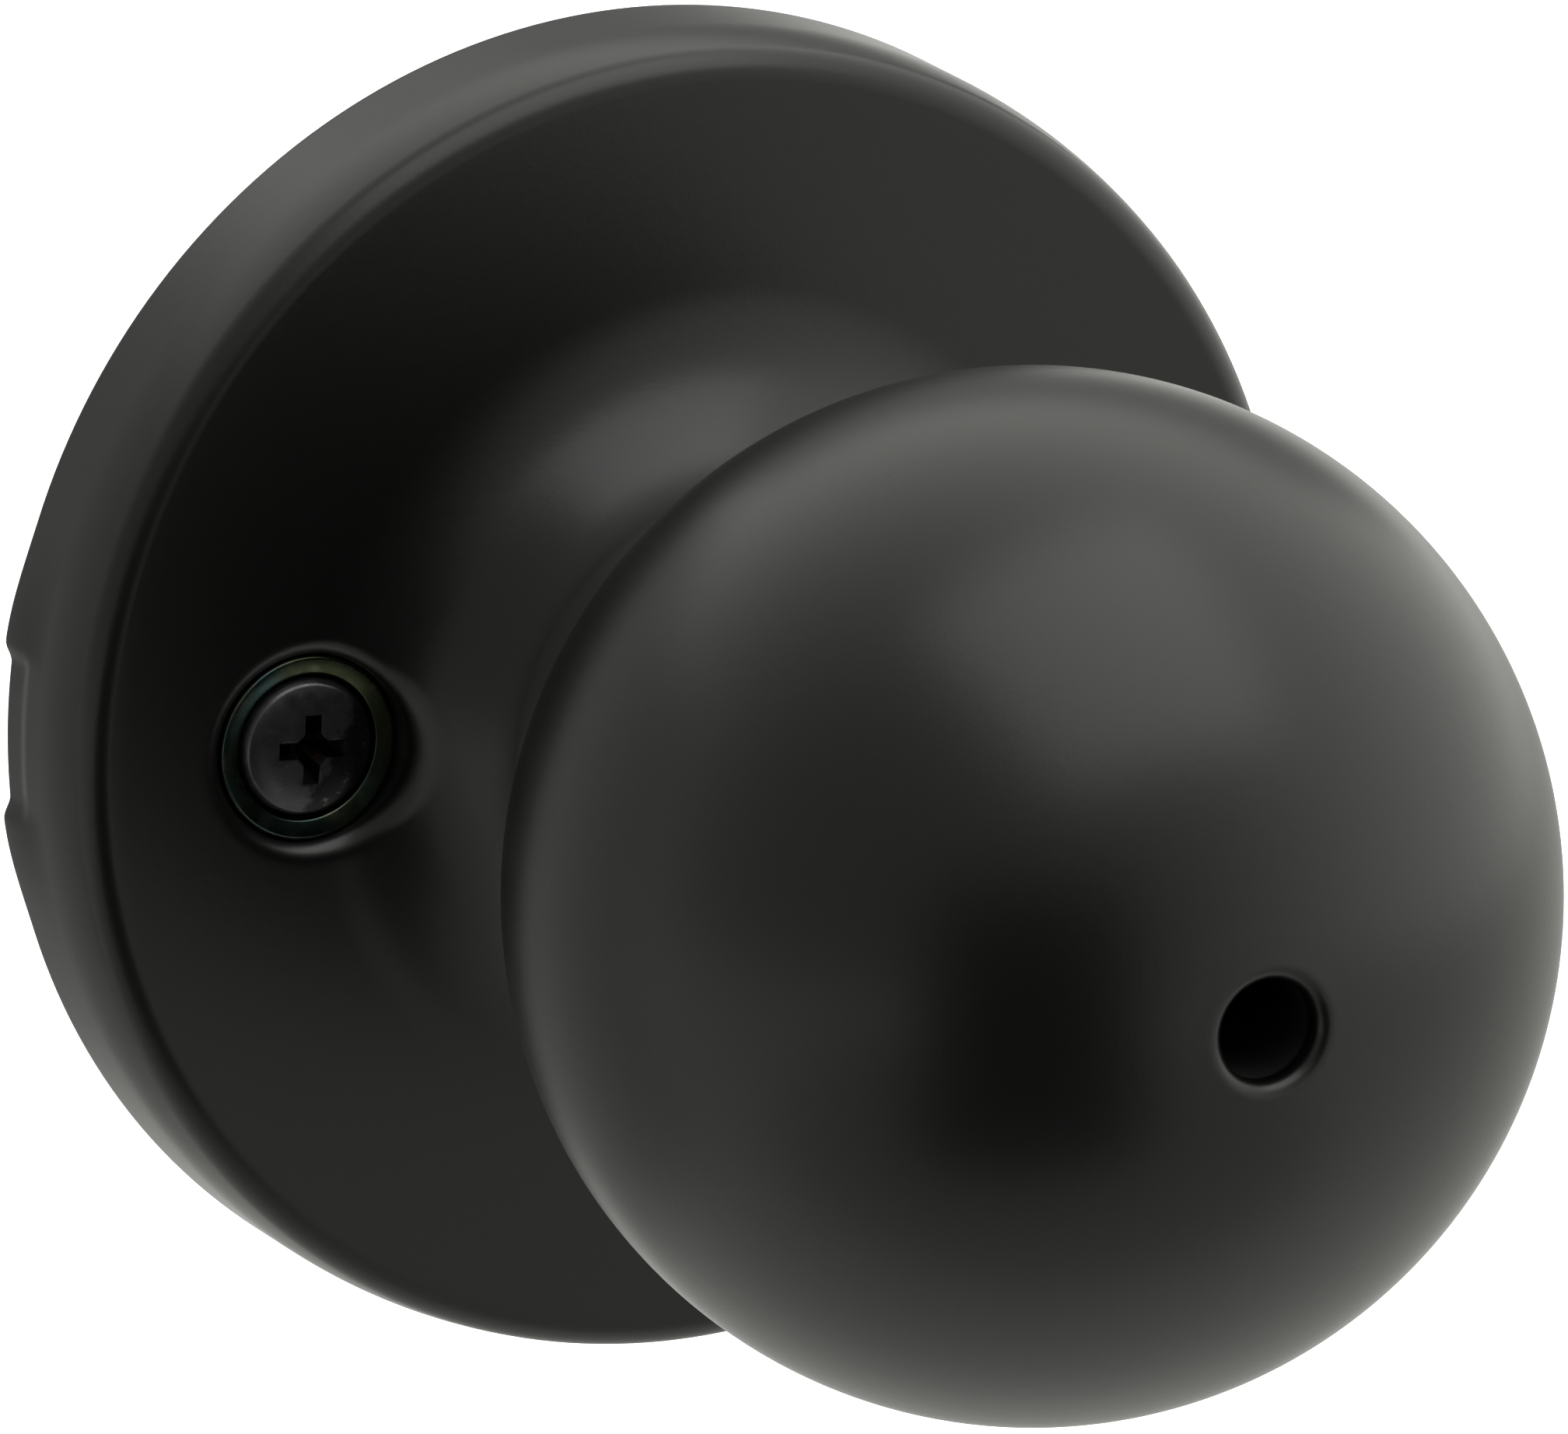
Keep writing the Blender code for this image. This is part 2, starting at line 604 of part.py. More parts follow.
def retaining_ring(parts, cutters, material):
    inner, outer, top, thickness, opening = 7.75 * MM, 10.2 * MM, -13.55 * MM, 0.9 * MM, 4 * MM
    return split_ring("retaining_ring", inner, outer, top, thickness, opening, parts, cutters, material)


def stem_clip(parts, cutters, material):
    inner, outer, top, thickness, opening = 1.75 * MM, 3.4 * MM, -42.45 * MM, 0.6 * MM, 1.8 * MM
    return split_ring("stem_clip", inner, outer, top, thickness, opening, parts, cutters, material, steps=24)


def release_guide(parts, material):
    profile = [
        (GUIDE_BORE, 69.3 * MM),
        (GUIDE_RADIUS, 69.3 * MM),
        (GUIDE_RADIUS, 35.0 * MM),
        (7.1 * MM, 33.0 * MM),
        (7.1 * MM, 28.7 * MM),
        (6.1 * MM, 28.7 * MM),
        (6.1 * MM, 31.9 * MM),
        (GUIDE_BORE, 31.9 * MM),
    ]
    guide = turned("release_guide", profile, parts, material, steps=32)
    smooth(guide)
    return guide


def spindle(parts, cutters, material):
    profile = [
        (SPINDLE_BORE, SPINDLE_FRONT),
        (SPINDLE_RADIUS, SPINDLE_FRONT),
        (SPINDLE_RADIUS, SPINDLE_BACK),
        (SPINDLE_BORE, SPINDLE_BACK),
    ]
    tube = turned("spindle", profile, parts, material, steps=32)
    length = SPINDLE_FLAT_FRONT - SPINDLE_BACK + MM
    middle = (SPINDLE_FLAT_FRONT + SPINDLE_BACK - MM) / 2
    flat = add_block("spindle_flat", (4 * MM, length, 12 * MM), (SPINDLE_FLAT + 2 * MM, -middle, 0.0), cutters)
    combine(tube, flat, "DIFFERENCE")
    pin_hole = add_cross_drill("spindle_pin_hole", PIN_RADIUS + 0.2 * MM, 6 * MM, PIN_HEIGHT, cutters)
    combine(tube, pin_hole, "DIFFERENCE")
    smooth(tube)
    return tube


def spindle_pin(side, turn, parts, material):
    inner_end = SPINDLE_BORE + 0.4 * MM
    outer_end = NECK_RADIUS - NECK_WALL - 0.5 * MM
    mesh = bpy.data.meshes.new(f"spindle_pin_{side}")
    work = bmesh.new()
    bmesh.ops.create_cone(
        work, cap_ends=True, segments=16, radius1=PIN_RADIUS, radius2=PIN_RADIUS,
        depth=outer_end - inner_end, matrix=Matrix.Rotation(math.pi / 2, 4, "Y"),
    )
    work.to_mesh(mesh)
    work.free()
    pin = add_object(f"spindle_pin_{side}", mesh, parts, material)
    pin.location = (turn * (inner_end + outer_end) / 2, -PIN_HEIGHT, 0.0)
    smooth(pin)
    return pin


def release_stem(parts, cutters, material):
    profile = [
        (0.0, STEM_FRONT),
        (STEM_RADIUS - 0.3 * MM, STEM_FRONT),
        (STEM_RADIUS, STEM_FRONT - 0.3 * MM),
        (STEM_RADIUS, 36.3 * MM),
        (1.6 * MM, 36.3 * MM),
        (1.6 * MM, 34.9 * MM),
        (STEM_RADIUS, 34.9 * MM),
        (STEM_RADIUS, -42.3 * MM),
        (CLIP_GROOVE_RADIUS, -42.3 * MM),
        (CLIP_GROOVE_RADIUS, -43.2 * MM),
        (STEM_RADIUS, -43.2 * MM),
        (STEM_RADIUS, STEM_BACK),
        (0.0, STEM_BACK),
    ]
    stem = turned("release_stem", profile, parts, material, steps=24, closed=False)
    slot = add_block("stem_slot", (6 * MM, 2.4 * MM, 0.9 * MM), (0.0, -STEM_FRONT, 0.0), cutters)
    combine(stem, slot, "DIFFERENCE")
    for side, turn in (("left", -1), ("right", 1)):
        centre = (turn * 2.4 * MM, 46.5 * MM, 0.0)
        flat = add_block(f"stem_flat_{side}", (2.2 * MM, 5.0 * MM, 6 * MM), centre, cutters)
        combine(stem, flat, "DIFFERENCE")
    smooth(stem)
    return stem


def add_pivot(name, parts, parent=None):
    pivot = bpy.data.objects.new(name, None)
    pivot.empty_display_size = 10 * MM
    parts.objects.link(pivot)
    pivot.parent = parent
    return pivot


def main():
    clear_scene()
    parts = make_collection("door_knob")
    cutters = make_collection("cutters")

    black = make_material("satin_black_paint", (0.012, 0.012, 0.0115), 0.36, 0.0)
    zinc = make_material("black_zinc_plate", (0.060, 0.075, 0.055), 0.28, 1.0)
    bright = make_material("clear_zinc_plate", (0.66, 0.68, 0.70), 0.32, 1.0)
    steel = make_material("spring_steel", (0.42, 0.42, 0.44), 0.35, 1.0)
    casting = make_material("die_cast_zinc", (0.50, 0.51, 0.53), 0.50, 1.0)
    black_steel = make_material("black_screw_finish", (0.020, 0.020, 0.020), 0.34, 0.2)
    nylon = make_material("white_nylon", (0.78, 0.77, 0.72), 0.45, 0.0)
    black_nylon = make_material("black_nylon", (0.015, 0.015, 0.015), 0.50, 0.0)
    brass = make_material("brass_rod", (0.78, 0.57, 0.25), 0.30, 1.0)
    rubber = make_material("black_rubber", (0.02, 0.02, 0.02), 0.75, 0.0)

    fixed = [
        rose(parts, cutters, black),
        rose_liner(parts, cutters, zinc),
        spring_cage(parts, cutters, bright),
        neck_bushing(parts, nylon),
        washer("thrust_washer", SHANK_RADIUS + GAP, 11.0 * MM, 15.85 * MM, 0.7 * MM, parts, steel),
        return_spring(parts, steel),
        mounting_screw("left", -WELL_X, parts, cutters, black_steel),
        mounting_screw("right", WELL_X, parts, cutters, black_steel),
    ]
    fixed += [rivet(index, parts, bright) for index in range(RIVET_COUNT)]

    turning = [
        knob_shell(parts, black),
        knob_core(parts, cutters, casting),
        knob_shank(parts, cutters, bright),
        spring_driver(parts, cutters, bright),
        wave_washer(parts, steel),
        retaining_ring(parts, cutters, steel),
        release_guide(parts, black_nylon),
        spindle(parts, cutters, bright),
        spindle_pin("left", -1, parts, steel),
        spindle_pin("right", 1, parts, steel),
    ]

    releasing = [
        release_stem(parts, cutters, brass),
        washer("friction_ring", 1.8 * MM, 2.5 * MM, 36.1 * MM, 1.0 * MM, parts, rubber, steps=24),
        stem_clip(parts, cutters, steel),
    ]

    mount = add_pivot("rose_mount", parts)
    knob_axis = add_pivot("knob_axis", parts, mount)
    release_axis = add_pivot("release_axis", parts, knob_axis)
    for pivot, group in ((mount, fixed), (knob_axis, turning), (release_axis, releasing)):
        for thing in group:
            thing.parent = pivot


main()
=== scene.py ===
"""Looks for the door knob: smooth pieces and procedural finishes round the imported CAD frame.

The knob's axis is world Y, the door's face is the plane y = 0 and the knob points to -Y. A height is the
distance out from the door's face, so a point at height h has y = -h.
"""

import math

import bmesh
import bpy
from mathutils import Matrix, Vector
from mathutils.geometry import delaunay_2d_cdt

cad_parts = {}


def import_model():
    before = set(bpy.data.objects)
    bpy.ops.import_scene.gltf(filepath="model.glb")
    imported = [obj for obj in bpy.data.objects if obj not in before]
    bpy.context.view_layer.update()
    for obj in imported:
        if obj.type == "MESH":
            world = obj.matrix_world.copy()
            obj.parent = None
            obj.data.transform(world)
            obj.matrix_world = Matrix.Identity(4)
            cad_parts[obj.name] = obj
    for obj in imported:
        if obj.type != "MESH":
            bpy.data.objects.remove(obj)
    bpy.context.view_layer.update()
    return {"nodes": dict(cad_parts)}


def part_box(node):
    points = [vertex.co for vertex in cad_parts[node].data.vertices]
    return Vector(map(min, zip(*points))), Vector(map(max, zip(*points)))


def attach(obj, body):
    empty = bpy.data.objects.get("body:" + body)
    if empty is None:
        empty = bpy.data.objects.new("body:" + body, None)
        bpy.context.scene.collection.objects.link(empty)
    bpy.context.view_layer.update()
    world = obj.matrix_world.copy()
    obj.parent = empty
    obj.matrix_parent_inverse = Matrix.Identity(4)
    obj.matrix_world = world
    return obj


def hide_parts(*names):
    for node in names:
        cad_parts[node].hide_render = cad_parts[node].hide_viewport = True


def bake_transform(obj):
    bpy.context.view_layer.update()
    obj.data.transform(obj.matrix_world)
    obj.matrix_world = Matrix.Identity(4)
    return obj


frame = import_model()

MM = 0.001
TURN = 2 * math.pi

# Sizes that the CAD boxes give
rose_low, rose_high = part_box("rose")
_, shell_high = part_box("knob_shell")
screw_low, screw_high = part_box("mounting_screw_left")
ROSE_RADIUS = rose_high.x
COLLAR_TOP = -rose_low.y
BALL_RADIUS = shell_high.x
WELL_X = -(screw_low.x + screw_high.x) / 2

# Sizes of the rose. Its side wall is straight, then curves in through EASE_END degrees to the shoulder.
ROSE_SHEET = 0.9 * MM
WALL_HEIGHT = 4.2 * MM
WALL_EASE = 16.0 * MM
EASE_END = 12.0
SHOULDER_RADIUS = 1.6 * MM
FACE_SLOPE = 3.5
COLLAR_RADIUS = 12.6 * MM
LIP_RADIUS = 0.3 * MM
LIP_SEGMENTS = 5
SWEEP_RADIUS = 9.5 * MM
SWEEP_CENTRE = 22.0 * MM
SWEEP_END = 72.0
WELL_RADIUS = 4.7 * MM
WELL_ROLL = 1.1 * MM
WELL_TUBE_BASE = 7.6 * MM
WELL_MARGIN = 0.5 * MM
GRID_CLEARANCE = 0.4 * MM

# The shallow pry recess at 9 o'clock, and the swell of the rim on both sides of it
NOTCH_HALF = 4.5 * MM
NOTCH_EASE = 1.1 * MM
NOTCH_DEPTH = 0.15 * MM
NOTCH_HEIGHT = 2.6 * MM
SWELL_DEPTH = 0.3 * MM
SWELL_LENGTH = 6.0 * MM
SWELL_HEIGHT = 4.1 * MM

# Sizes of the ball and its neck
BALL_CENTRE = 45.7 * MM
BALL_WALL = 1.2 * MM
NECK_RADIUS = 11.2 * MM
NECK_WALL = 1.0 * MM
NECK_FILLET = 2.5 * MM
NECK_END = 16.2 * MM
HOLE_RADIUS = 2.48 * MM
HOLE_ROLL = 0.75 * MM


# Shape helpers

def world(radius, angle, height):
    """A point in the frame from its radius and angle about the knob's axis and its height."""
    return Vector((radius * math.cos(angle), -height, radius * math.sin(angle)))


def arc(centre_radius, centre_height, radius, start, end, segments):
    """Profile points on a circle, with angles in degrees from the radius direction."""
    points = []
    for step in range(segments + 1):
        angle = math.radians(start + (end - start) * step / segments)
        points.append((centre_radius + radius * math.cos(angle), centre_height + radius * math.sin(angle)))
    return points


def rounded(profile, radius, closed=True, segments=3):
    """The same profile with each corner eased by a short curve. Nearly straight corners stay."""
    nearly_straight = math.radians(155)
    longest_share = 0.4
    count = len(profile)
    result = []
    for index, corner in enumerate(profile):
        here = Vector(corner)
        before = Vector(profile[index - 1]) - here
        after = Vector(profile[(index + 1) % count]) - here
        open_end = not closed and index in (0, count - 1)
        if open_end or before.angle(after) > nearly_straight:
            result.append(corner)
            continue
        reach = min(radius, longest_share * before.length, longest_share * after.length)
        start = here + before.normalized() * reach
        end = here + after.normalized() * reach
        for step in range(segments + 1):
            share = step / segments
            point = start * (1 - share) ** 2 + here * (2 * share * (1 - share)) + end * share ** 2
            result.append((point.x, point.y))
    return result


def add_object(name, data):
    thing = bpy.data.objects.new(name, data)
    bpy.context.scene.collection.objects.link(thing)
    return thing


def new_piece(name, vertices, faces, material):
    """A smooth-shaded piece."""
    mesh = bpy.data.meshes.new(name)
    mesh.from_pydata(vertices, [], faces)
    for polygon in mesh.polygons:
        polygon.use_smooth = True
    if material:
        mesh.materials.append(material)
    return add_object(name, mesh)


def band(first, second, flip=False):
    """The four-sided faces between two closed rings of vertex numbers."""
    faces = []
    for step in range(len(first)):
        follow = (step + 1) % len(first)
        face = [first[step], second[step], second[follow], first[follow]]
        if flip:
            face = [face[0], face[3], face[2], face[1]]
        faces.append(face)
    return faces


def lathe(name, profile, material, steps=128, closed=True, x=0.0, z=0.0):
    """Turns a profile about the height axis. The profile runs down its outer side."""
    on_axis = 1e-7
    vertices, rings = [], []
    for radius, height in profile:
        if radius < on_axis:
            rings.append([len(vertices)] * steps)
            vertices.append((x, -height, z))
            continue
        rings.append(list(range(len(vertices), len(vertices) + steps)))
        for step in range(steps):
            angle = TURN * step / steps
            vertices.append((x + radius * math.cos(angle), -height, z + radius * math.sin(angle)))
    faces = []
    bands = len(rings) if closed else len(rings) - 1
    for index in range(bands):
        for corners in band(rings[index], rings[(index + 1) % len(rings)]):
            face = [corner for number, corner in enumerate(corners) if corner not in corners[:number]]
            if len(face) > 2:
                faces.append(face)
    return new_piece(name, vertices, faces, material)


def sweep(name, path, radius, material, sides=14):
    """A round wire along a path, with flat ends."""
    vertices, rings, faces = [], [], []
    side = Vector((0, 1, 0))
    for index, point in enumerate(path):
        ahead = path[min(index + 1, len(path) - 1)] - path[max(index - 1, 0)]
        ahead.normalize()
        side = (side - ahead * side.dot(ahead)).normalized()
        across = ahead.cross(side)
        rings.append(list(range(len(vertices), len(vertices) + sides)))
        for step in range(sides):
            angle = TURN * step / sides
            vertices.append(point + (side * math.cos(angle) + across * math.sin(angle)) * radius)
    for lower, upper in zip(rings, rings[1:]):
        faces += band(lower, upper, flip=True)
    faces.append(rings[0][::-1])
    faces.append(rings[-1])
    return new_piece(name, vertices, faces, material)


def apply_modifiers(piece):
    """Fixes the modifiers into the mesh, so that cutters can be removed."""
    bpy.context.view_layer.update()
    evaluated = piece.evaluated_get(bpy.context.evaluated_depsgraph_get())
    mesh = bpy.data.meshes.new_from_object(evaluated)
    piece.modifiers.clear()
    piece.data = mesh


def cut(piece, *tools):
    """Takes the tools' shapes out of the piece and removes the tools."""
    for tool in tools:
        change = piece.modifiers.new("Cut", "BOOLEAN")
        change.operation = "DIFFERENCE"
        change.solver = "EXACT"
        change.object = tool
    apply_modifiers(piece)
    for tool in tools:
        bpy.data.objects.remove(tool, do_unlink=True)
    return piece


def ease_edges(piece, width, angle=40, segments=2):
    """Bevels the edges that are sharper than the angle, and keeps the flats beside them flat."""
    bevel = piece.modifiers.new("Ease", "BEVEL")
    bevel.width = width
    bevel.segments = segments
    bevel.limit_method = "ANGLE"
    bevel.angle_limit = math.radians(angle)
    weigh = piece.modifiers.new("Weigh", "WEIGHTED_NORMAL")
    weigh.keep_sharp = True


def block(name, size, centre, taper=1.0):
    """A box for cutting. Its end nearer the door can be narrower than its outer end."""
    mesh = bpy.data.meshes.new(name)
    work = bmesh.new()
    bmesh.ops.create_cube(work, size=1.0, matrix=Matrix.Diagonal((*size, 1.0)))
    for vertex in work.verts:
        if vertex.co.y > 0:
            vertex.co.x *= taper
            vertex.co.z *= taper
    work.to_mesh(mesh)
    work.free()
    box = add_object(name, mesh)
    box.location = centre
    return box


def drill(radius, low, high, x=0.0, z=0.0):
    """A round cutter from a low height to a high one."""
    outline = [(0.0, high), (radius, high), (radius, low), (0.0, low)]
    return lathe("drill", outline, None, steps=48, closed=False, x=x, z=z)


def plain_sheet(name, half_size):
    """A flat square that faces up."""
    mesh = bpy.data.meshes.new(name)
    work = bmesh.new()
    bmesh.ops.create_grid(work, x_segments=1, y_segments=1, size=half_size)
    work.to_mesh(mesh)
    work.free()
    return add_object(name, mesh)


# Material helpers

class Nodes:
    """A short way to write a node tree."""

    def __init__(self, name):
        self.material = bpy.data.materials.new(name)
        self.material.use_nodes = True
        self.tree = self.material.node_tree
        self.shader = self.tree.nodes["Principled BSDF"]
        self.coordinates = self.add("ShaderNodeTexCoord").outputs["Object"]

    def add(self, kind, **values):
        node = self.tree.nodes.new(kind)
        for key, value in values.items():
            setattr(node, key, value)
        return node

    def link(self, source, target):
        self.tree.links.new(source, target)

    def noise(self, scale, detail=2.0, rough=0.5, stretch=None):
        node = self.add("ShaderNodeTexNoise")
        node.inputs["Scale"].default_value = scale
        node.inputs["Detail"].default_value = detail
        node.inputs["Roughness"].default_value = rough
        source = self.coordinates
        if stretch:
            mapping = self.add("ShaderNodeMapping")
            mapping.inputs["Scale"].default_value = stretch
            self.link(source, mapping.inputs["Vector"])
            source = mapping.outputs["Vector"]
        self.link(source, node.inputs["Vector"])
        return node.outputs["Fac"]

    def ramp(self, source, low, high, to_low=0.0, to_high=1.0):
        node = self.add("ShaderNodeMapRange")
        node.inputs["From Min"].default_value = low
        node.inputs["From Max"].default_value = high
        node.inputs["To Min"].default_value = to_low
        node.inputs["To Max"].default_value = to_high
        self.link(source, node.inputs["Value"])
        return node.outputs["Result"]

    def mix(self, factor, first, second):
        node = self.add("ShaderNodeMix", data_type="RGBA")
        self.link(factor, node.inputs["Factor"])
        for value, socket in ((first, node.inputs[6]), (second, node.inputs[7])):
            if isinstance(value, tuple):
                socket.default_value = (*value, 1.0)
            else:
                self.link(value, socket)
        return node.outputs[2]

    def along(self, axis):
        node = self.add("ShaderNodeVectorMath", operation="DOT_PRODUCT")
        node.inputs[1].default_value = axis
        self.link(self.coordinates, node.inputs[0])
        return node.outputs["Value"]

    def sum(self, first, second):
        node = self.add("ShaderNodeMath", operation="ADD")
        self.link(first, node.inputs[0])
        self.link(second, node.inputs[1])
        return node.outputs["Value"]

    def product(self, first, *others):
        for other in others:
            node = self.add("ShaderNodeMath", operation="MULTIPLY")
            self.link(first, node.inputs[0])
            self.link(other, node.inputs[1])
            first = node.outputs["Value"]
        return first

    def bump(self, height, strength, distance, below=None):
        node = self.add("ShaderNodeBump")
        node.inputs["Strength"].default_value = strength
        node.inputs["Distance"].default_value = distance
        self.link(height, node.inputs["Height"])
        if below:
            self.link(below, node.inputs["Normal"])
        return node.outputs["Normal"]

    def set(self, **values):
        for key, value in values.items():
            socket = self.shader.inputs[key.replace("_", " ")]
            if isinstance(value, tuple):
                socket.default_value = (*value, 1.0)
            elif isinstance(value, (int, float)):
                socket.default_value = value
            else:
                self.link(value, socket)
        return self.material


def satin_black():
    """Powder coat: near-black, satin, with a fine orange peel and a faint dust of lighter grains."""
    n = Nodes("satin_black_paint")
    peel = n.bump(n.noise(1300, 2.0), 0.10, 0.05 * MM)
    grain = n.bump(n.noise(5200, 1.0), 0.10, 0.02 * MM, peel)
    patch = n.ramp(n.noise(60, 3.0), 0.3, 0.7, 0.315, 0.340)
    dust = n.ramp(n.noise(2600, 3.0, 0.7), 0.35, 0.75)
    tone = n.mix(dust, (0.0014, 0.0014, 0.0013), (0.0030, 0.0030, 0.0028))
    return n.set(Base_Color=tone, Roughness=patch, Normal=grain, IOR=1.5)


def black_zinc():
    """Black chromate over zinc: dark, glossy, drifting between olive and blue-green."""
    n = Nodes("black_zinc_plate")
    drift = n.ramp(n.noise(160, 2.0), 0.40, 0.60)
    tint = n.mix(drift, (0.060, 0.072, 0.040), (0.050, 0.085, 0.082))
    stain = n.mix(n.ramp(n.noise(900, 4.0, 0.65), 0.50, 0.72), tint, (0.11, 0.12, 0.085))
    roughness = n.ramp(n.noise(700, 3.0), 0.3, 0.7, 0.20, 0.34)
    surface = n.bump(n.noise(2200, 3.0), 0.12, 0.02 * MM)
    return n.set(Base_Color=stain, Roughness=roughness, Metallic=1.0, Normal=surface)


def clear_zinc():
    """Bright plated steel with a faint bluish cast, rolling lines and duller handling marks."""
    n = Nodes("clear_zinc_plate")
    cast = n.mix(n.ramp(n.noise(90, 3.0), 0.35, 0.65), (0.56, 0.59, 0.62), (0.66, 0.66, 0.64))
    marks = n.mix(n.ramp(n.noise(420, 5.0, 0.7), 0.56, 0.74), cast, (0.40, 0.41, 0.42))
    roughness = n.ramp(n.noise(300, 4.0), 0.3, 0.7, 0.24, 0.42)
    lines = n.bump(n.noise(500, 2.0, 0.5, (1.0, 1.0, 14.0)), 0.10, 0.02 * MM)
    surface = n.bump(n.noise(1800, 2.0), 0.10, 0.02 * MM, lines)
    return n.set(Base_Color=marks, Roughness=roughness, Metallic=1.0, Normal=surface)


def spring_steel():
    """Drawn wire and spring strip: grey, with darker drifts."""
    n = Nodes("spring_steel")
    tone = n.mix(n.ramp(n.noise(380, 4.0, 0.6), 0.35, 0.7), (0.30, 0.30, 0.32), (0.46, 0.45, 0.43))
    roughness = n.ramp(n.noise(900, 3.0), 0.3, 0.7, 0.25, 0.42)
    surface = n.bump(n.noise(1500, 3.0, 0.6), 0.15, 0.02 * MM)
    return n.set(Base_Color=tone, Roughness=roughness, Metallic=1.0, Normal=surface)


def die_cast():
    """Cast zinc as it leaves the die: dull and uneven."""
    n = Nodes("die_cast_zinc")
    tone = n.mix(n.ramp(n.noise(240, 5.0, 0.6), 0.35, 0.65), (0.36, 0.37, 0.38), (0.50, 0.50, 0.50))
    roughness = n.ramp(n.noise(800, 4.0), 0.3, 0.7, 0.42, 0.60)
    surface = n.bump(n.noise(1100, 5.0, 0.6), 0.35, 0.05 * MM)
    return n.set(Base_Color=tone, Roughness=roughness, Metallic=1.0, Normal=surface)


def black_screw(name="black_screw_finish", dark=(0.085, 0.085, 0.088), bare=(0.19, 0.18, 0.175)):
    """Black oxidised steel with scuffs down to greyer metal. Past a ragged line across the left head the
    colour is painted darker. This painted shade leaves the head's left part lighter as a painted reflection.
    """
    n = Nodes(name)
    scuff = n.ramp(n.noise(2400, 5.0, 0.75), 0.60, 0.76)
    # The ragged line that bounds the painted shade: past it the screw's colour is painted darker.
    raggedness = n.ramp(n.noise(1100, 5.0, 0.7), 0.3, 0.7, -0.8 * MM, 0.8 * MM)
    line = n.sum(n.along((1.0, 0.0, -0.6)), raggedness)
    # Painted shade: the oxide colour, painted four times darker past the ragged line.
    painted_shade_tone = tuple(0.25 * part for part in dark)
    oxide_and_painted_shade = n.mix(n.ramp(line, -20.0 * MM, -19.2 * MM), dark, painted_shade_tone)
    tone = n.mix(scuff, oxide_and_painted_shade, bare)
    roughness = n.ramp(n.noise(1500, 3.0), 0.3, 0.7, 0.24, 0.38)
    surface = n.bump(n.noise(3000, 4.0, 0.6), 0.20, 0.03 * MM)
    return n.set(Base_Color=tone, Roughness=roughness, Metallic=0.85, Normal=surface)


def plastic(name, first, second, roughness):
    """Moulded nylon or rubber that drifts between two tones."""
    n = Nodes(name)
    tone = n.mix(n.ramp(n.noise(200, 3.0), 0.35, 0.65), first, second)
    rough = n.ramp(n.noise(900, 3.0), 0.3, 0.7, roughness - 0.05, roughness + 0.08)
    surface = n.bump(n.noise(1400, 3.0), 0.12, 0.03 * MM)
    return n.set(Base_Color=tone, Roughness=rough, Normal=surface)


def brass():
    """Turned brass with fine lines round it and browner patches."""
    n = Nodes("brass_rod")
    tone = n.mix(n.ramp(n.noise(350, 4.0, 0.6), 0.40, 0.70), (0.72, 0.50, 0.20), (0.50, 0.34, 0.15))
    roughness = n.ramp(n.noise(700, 3.0), 0.3, 0.7, 0.22, 0.36)
    surface = n.bump(n.noise(700, 2.0, 0.5, (1.0, 12.0, 1.0)), 0.12, 0.02 * MM)
    return n.set(Base_Color=tone, Roughness=roughness, Metallic=1.0, Normal=surface)


PAINT = satin_black()
BLACK_ZINC = black_zinc()
ZINC = clear_zinc()
SPRING = spring_steel()
CASTING = die_cast()
# The screw's black oxide, painted darker past the ragged line: painted shade.
SCREW = black_screw()
# Painted shade: the cross recess is coloured far darker than the head, as shade inside it.
RECESS_PAINTED_SHADE = black_screw("recess_painted_shade", (0.010, 0.010, 0.010), (0.060, 0.055, 0.050))
# Worn bare metal in the recess's middle. Its dark tone is also painted darker past the ragged line: painted
# shade.
WORN_AND_PAINTED_SHADE = black_screw("worn_recess_and_painted_shade", (0.060, 0.040, 0.034), (0.46, 0.27, 0.20))
WHITE_NYLON = plastic("white_nylon", (0.72, 0.71, 0.66), (0.80, 0.79, 0.74), 0.42)
BLACK_NYLON = plastic("black_nylon", (0.003, 0.003, 0.003), (0.005, 0.005, 0.005), 0.80)
RUBBER = plastic("black_rubber", (0.012, 0.012, 0.012), (0.022, 0.022, 0.021), 0.72)
BRASS = brass()


# The rose

def shoulder_centre():
    """Centre of the shoulder's arc, tangent to the side wall's gentle upper curve."""
    turn = math.radians(EASE_END)
    reach = WALL_EASE - SHOULDER_RADIUS
    return ROSE_RADIUS - WALL_EASE + reach * math.cos(turn), WALL_HEIGHT + reach * math.sin(turn)


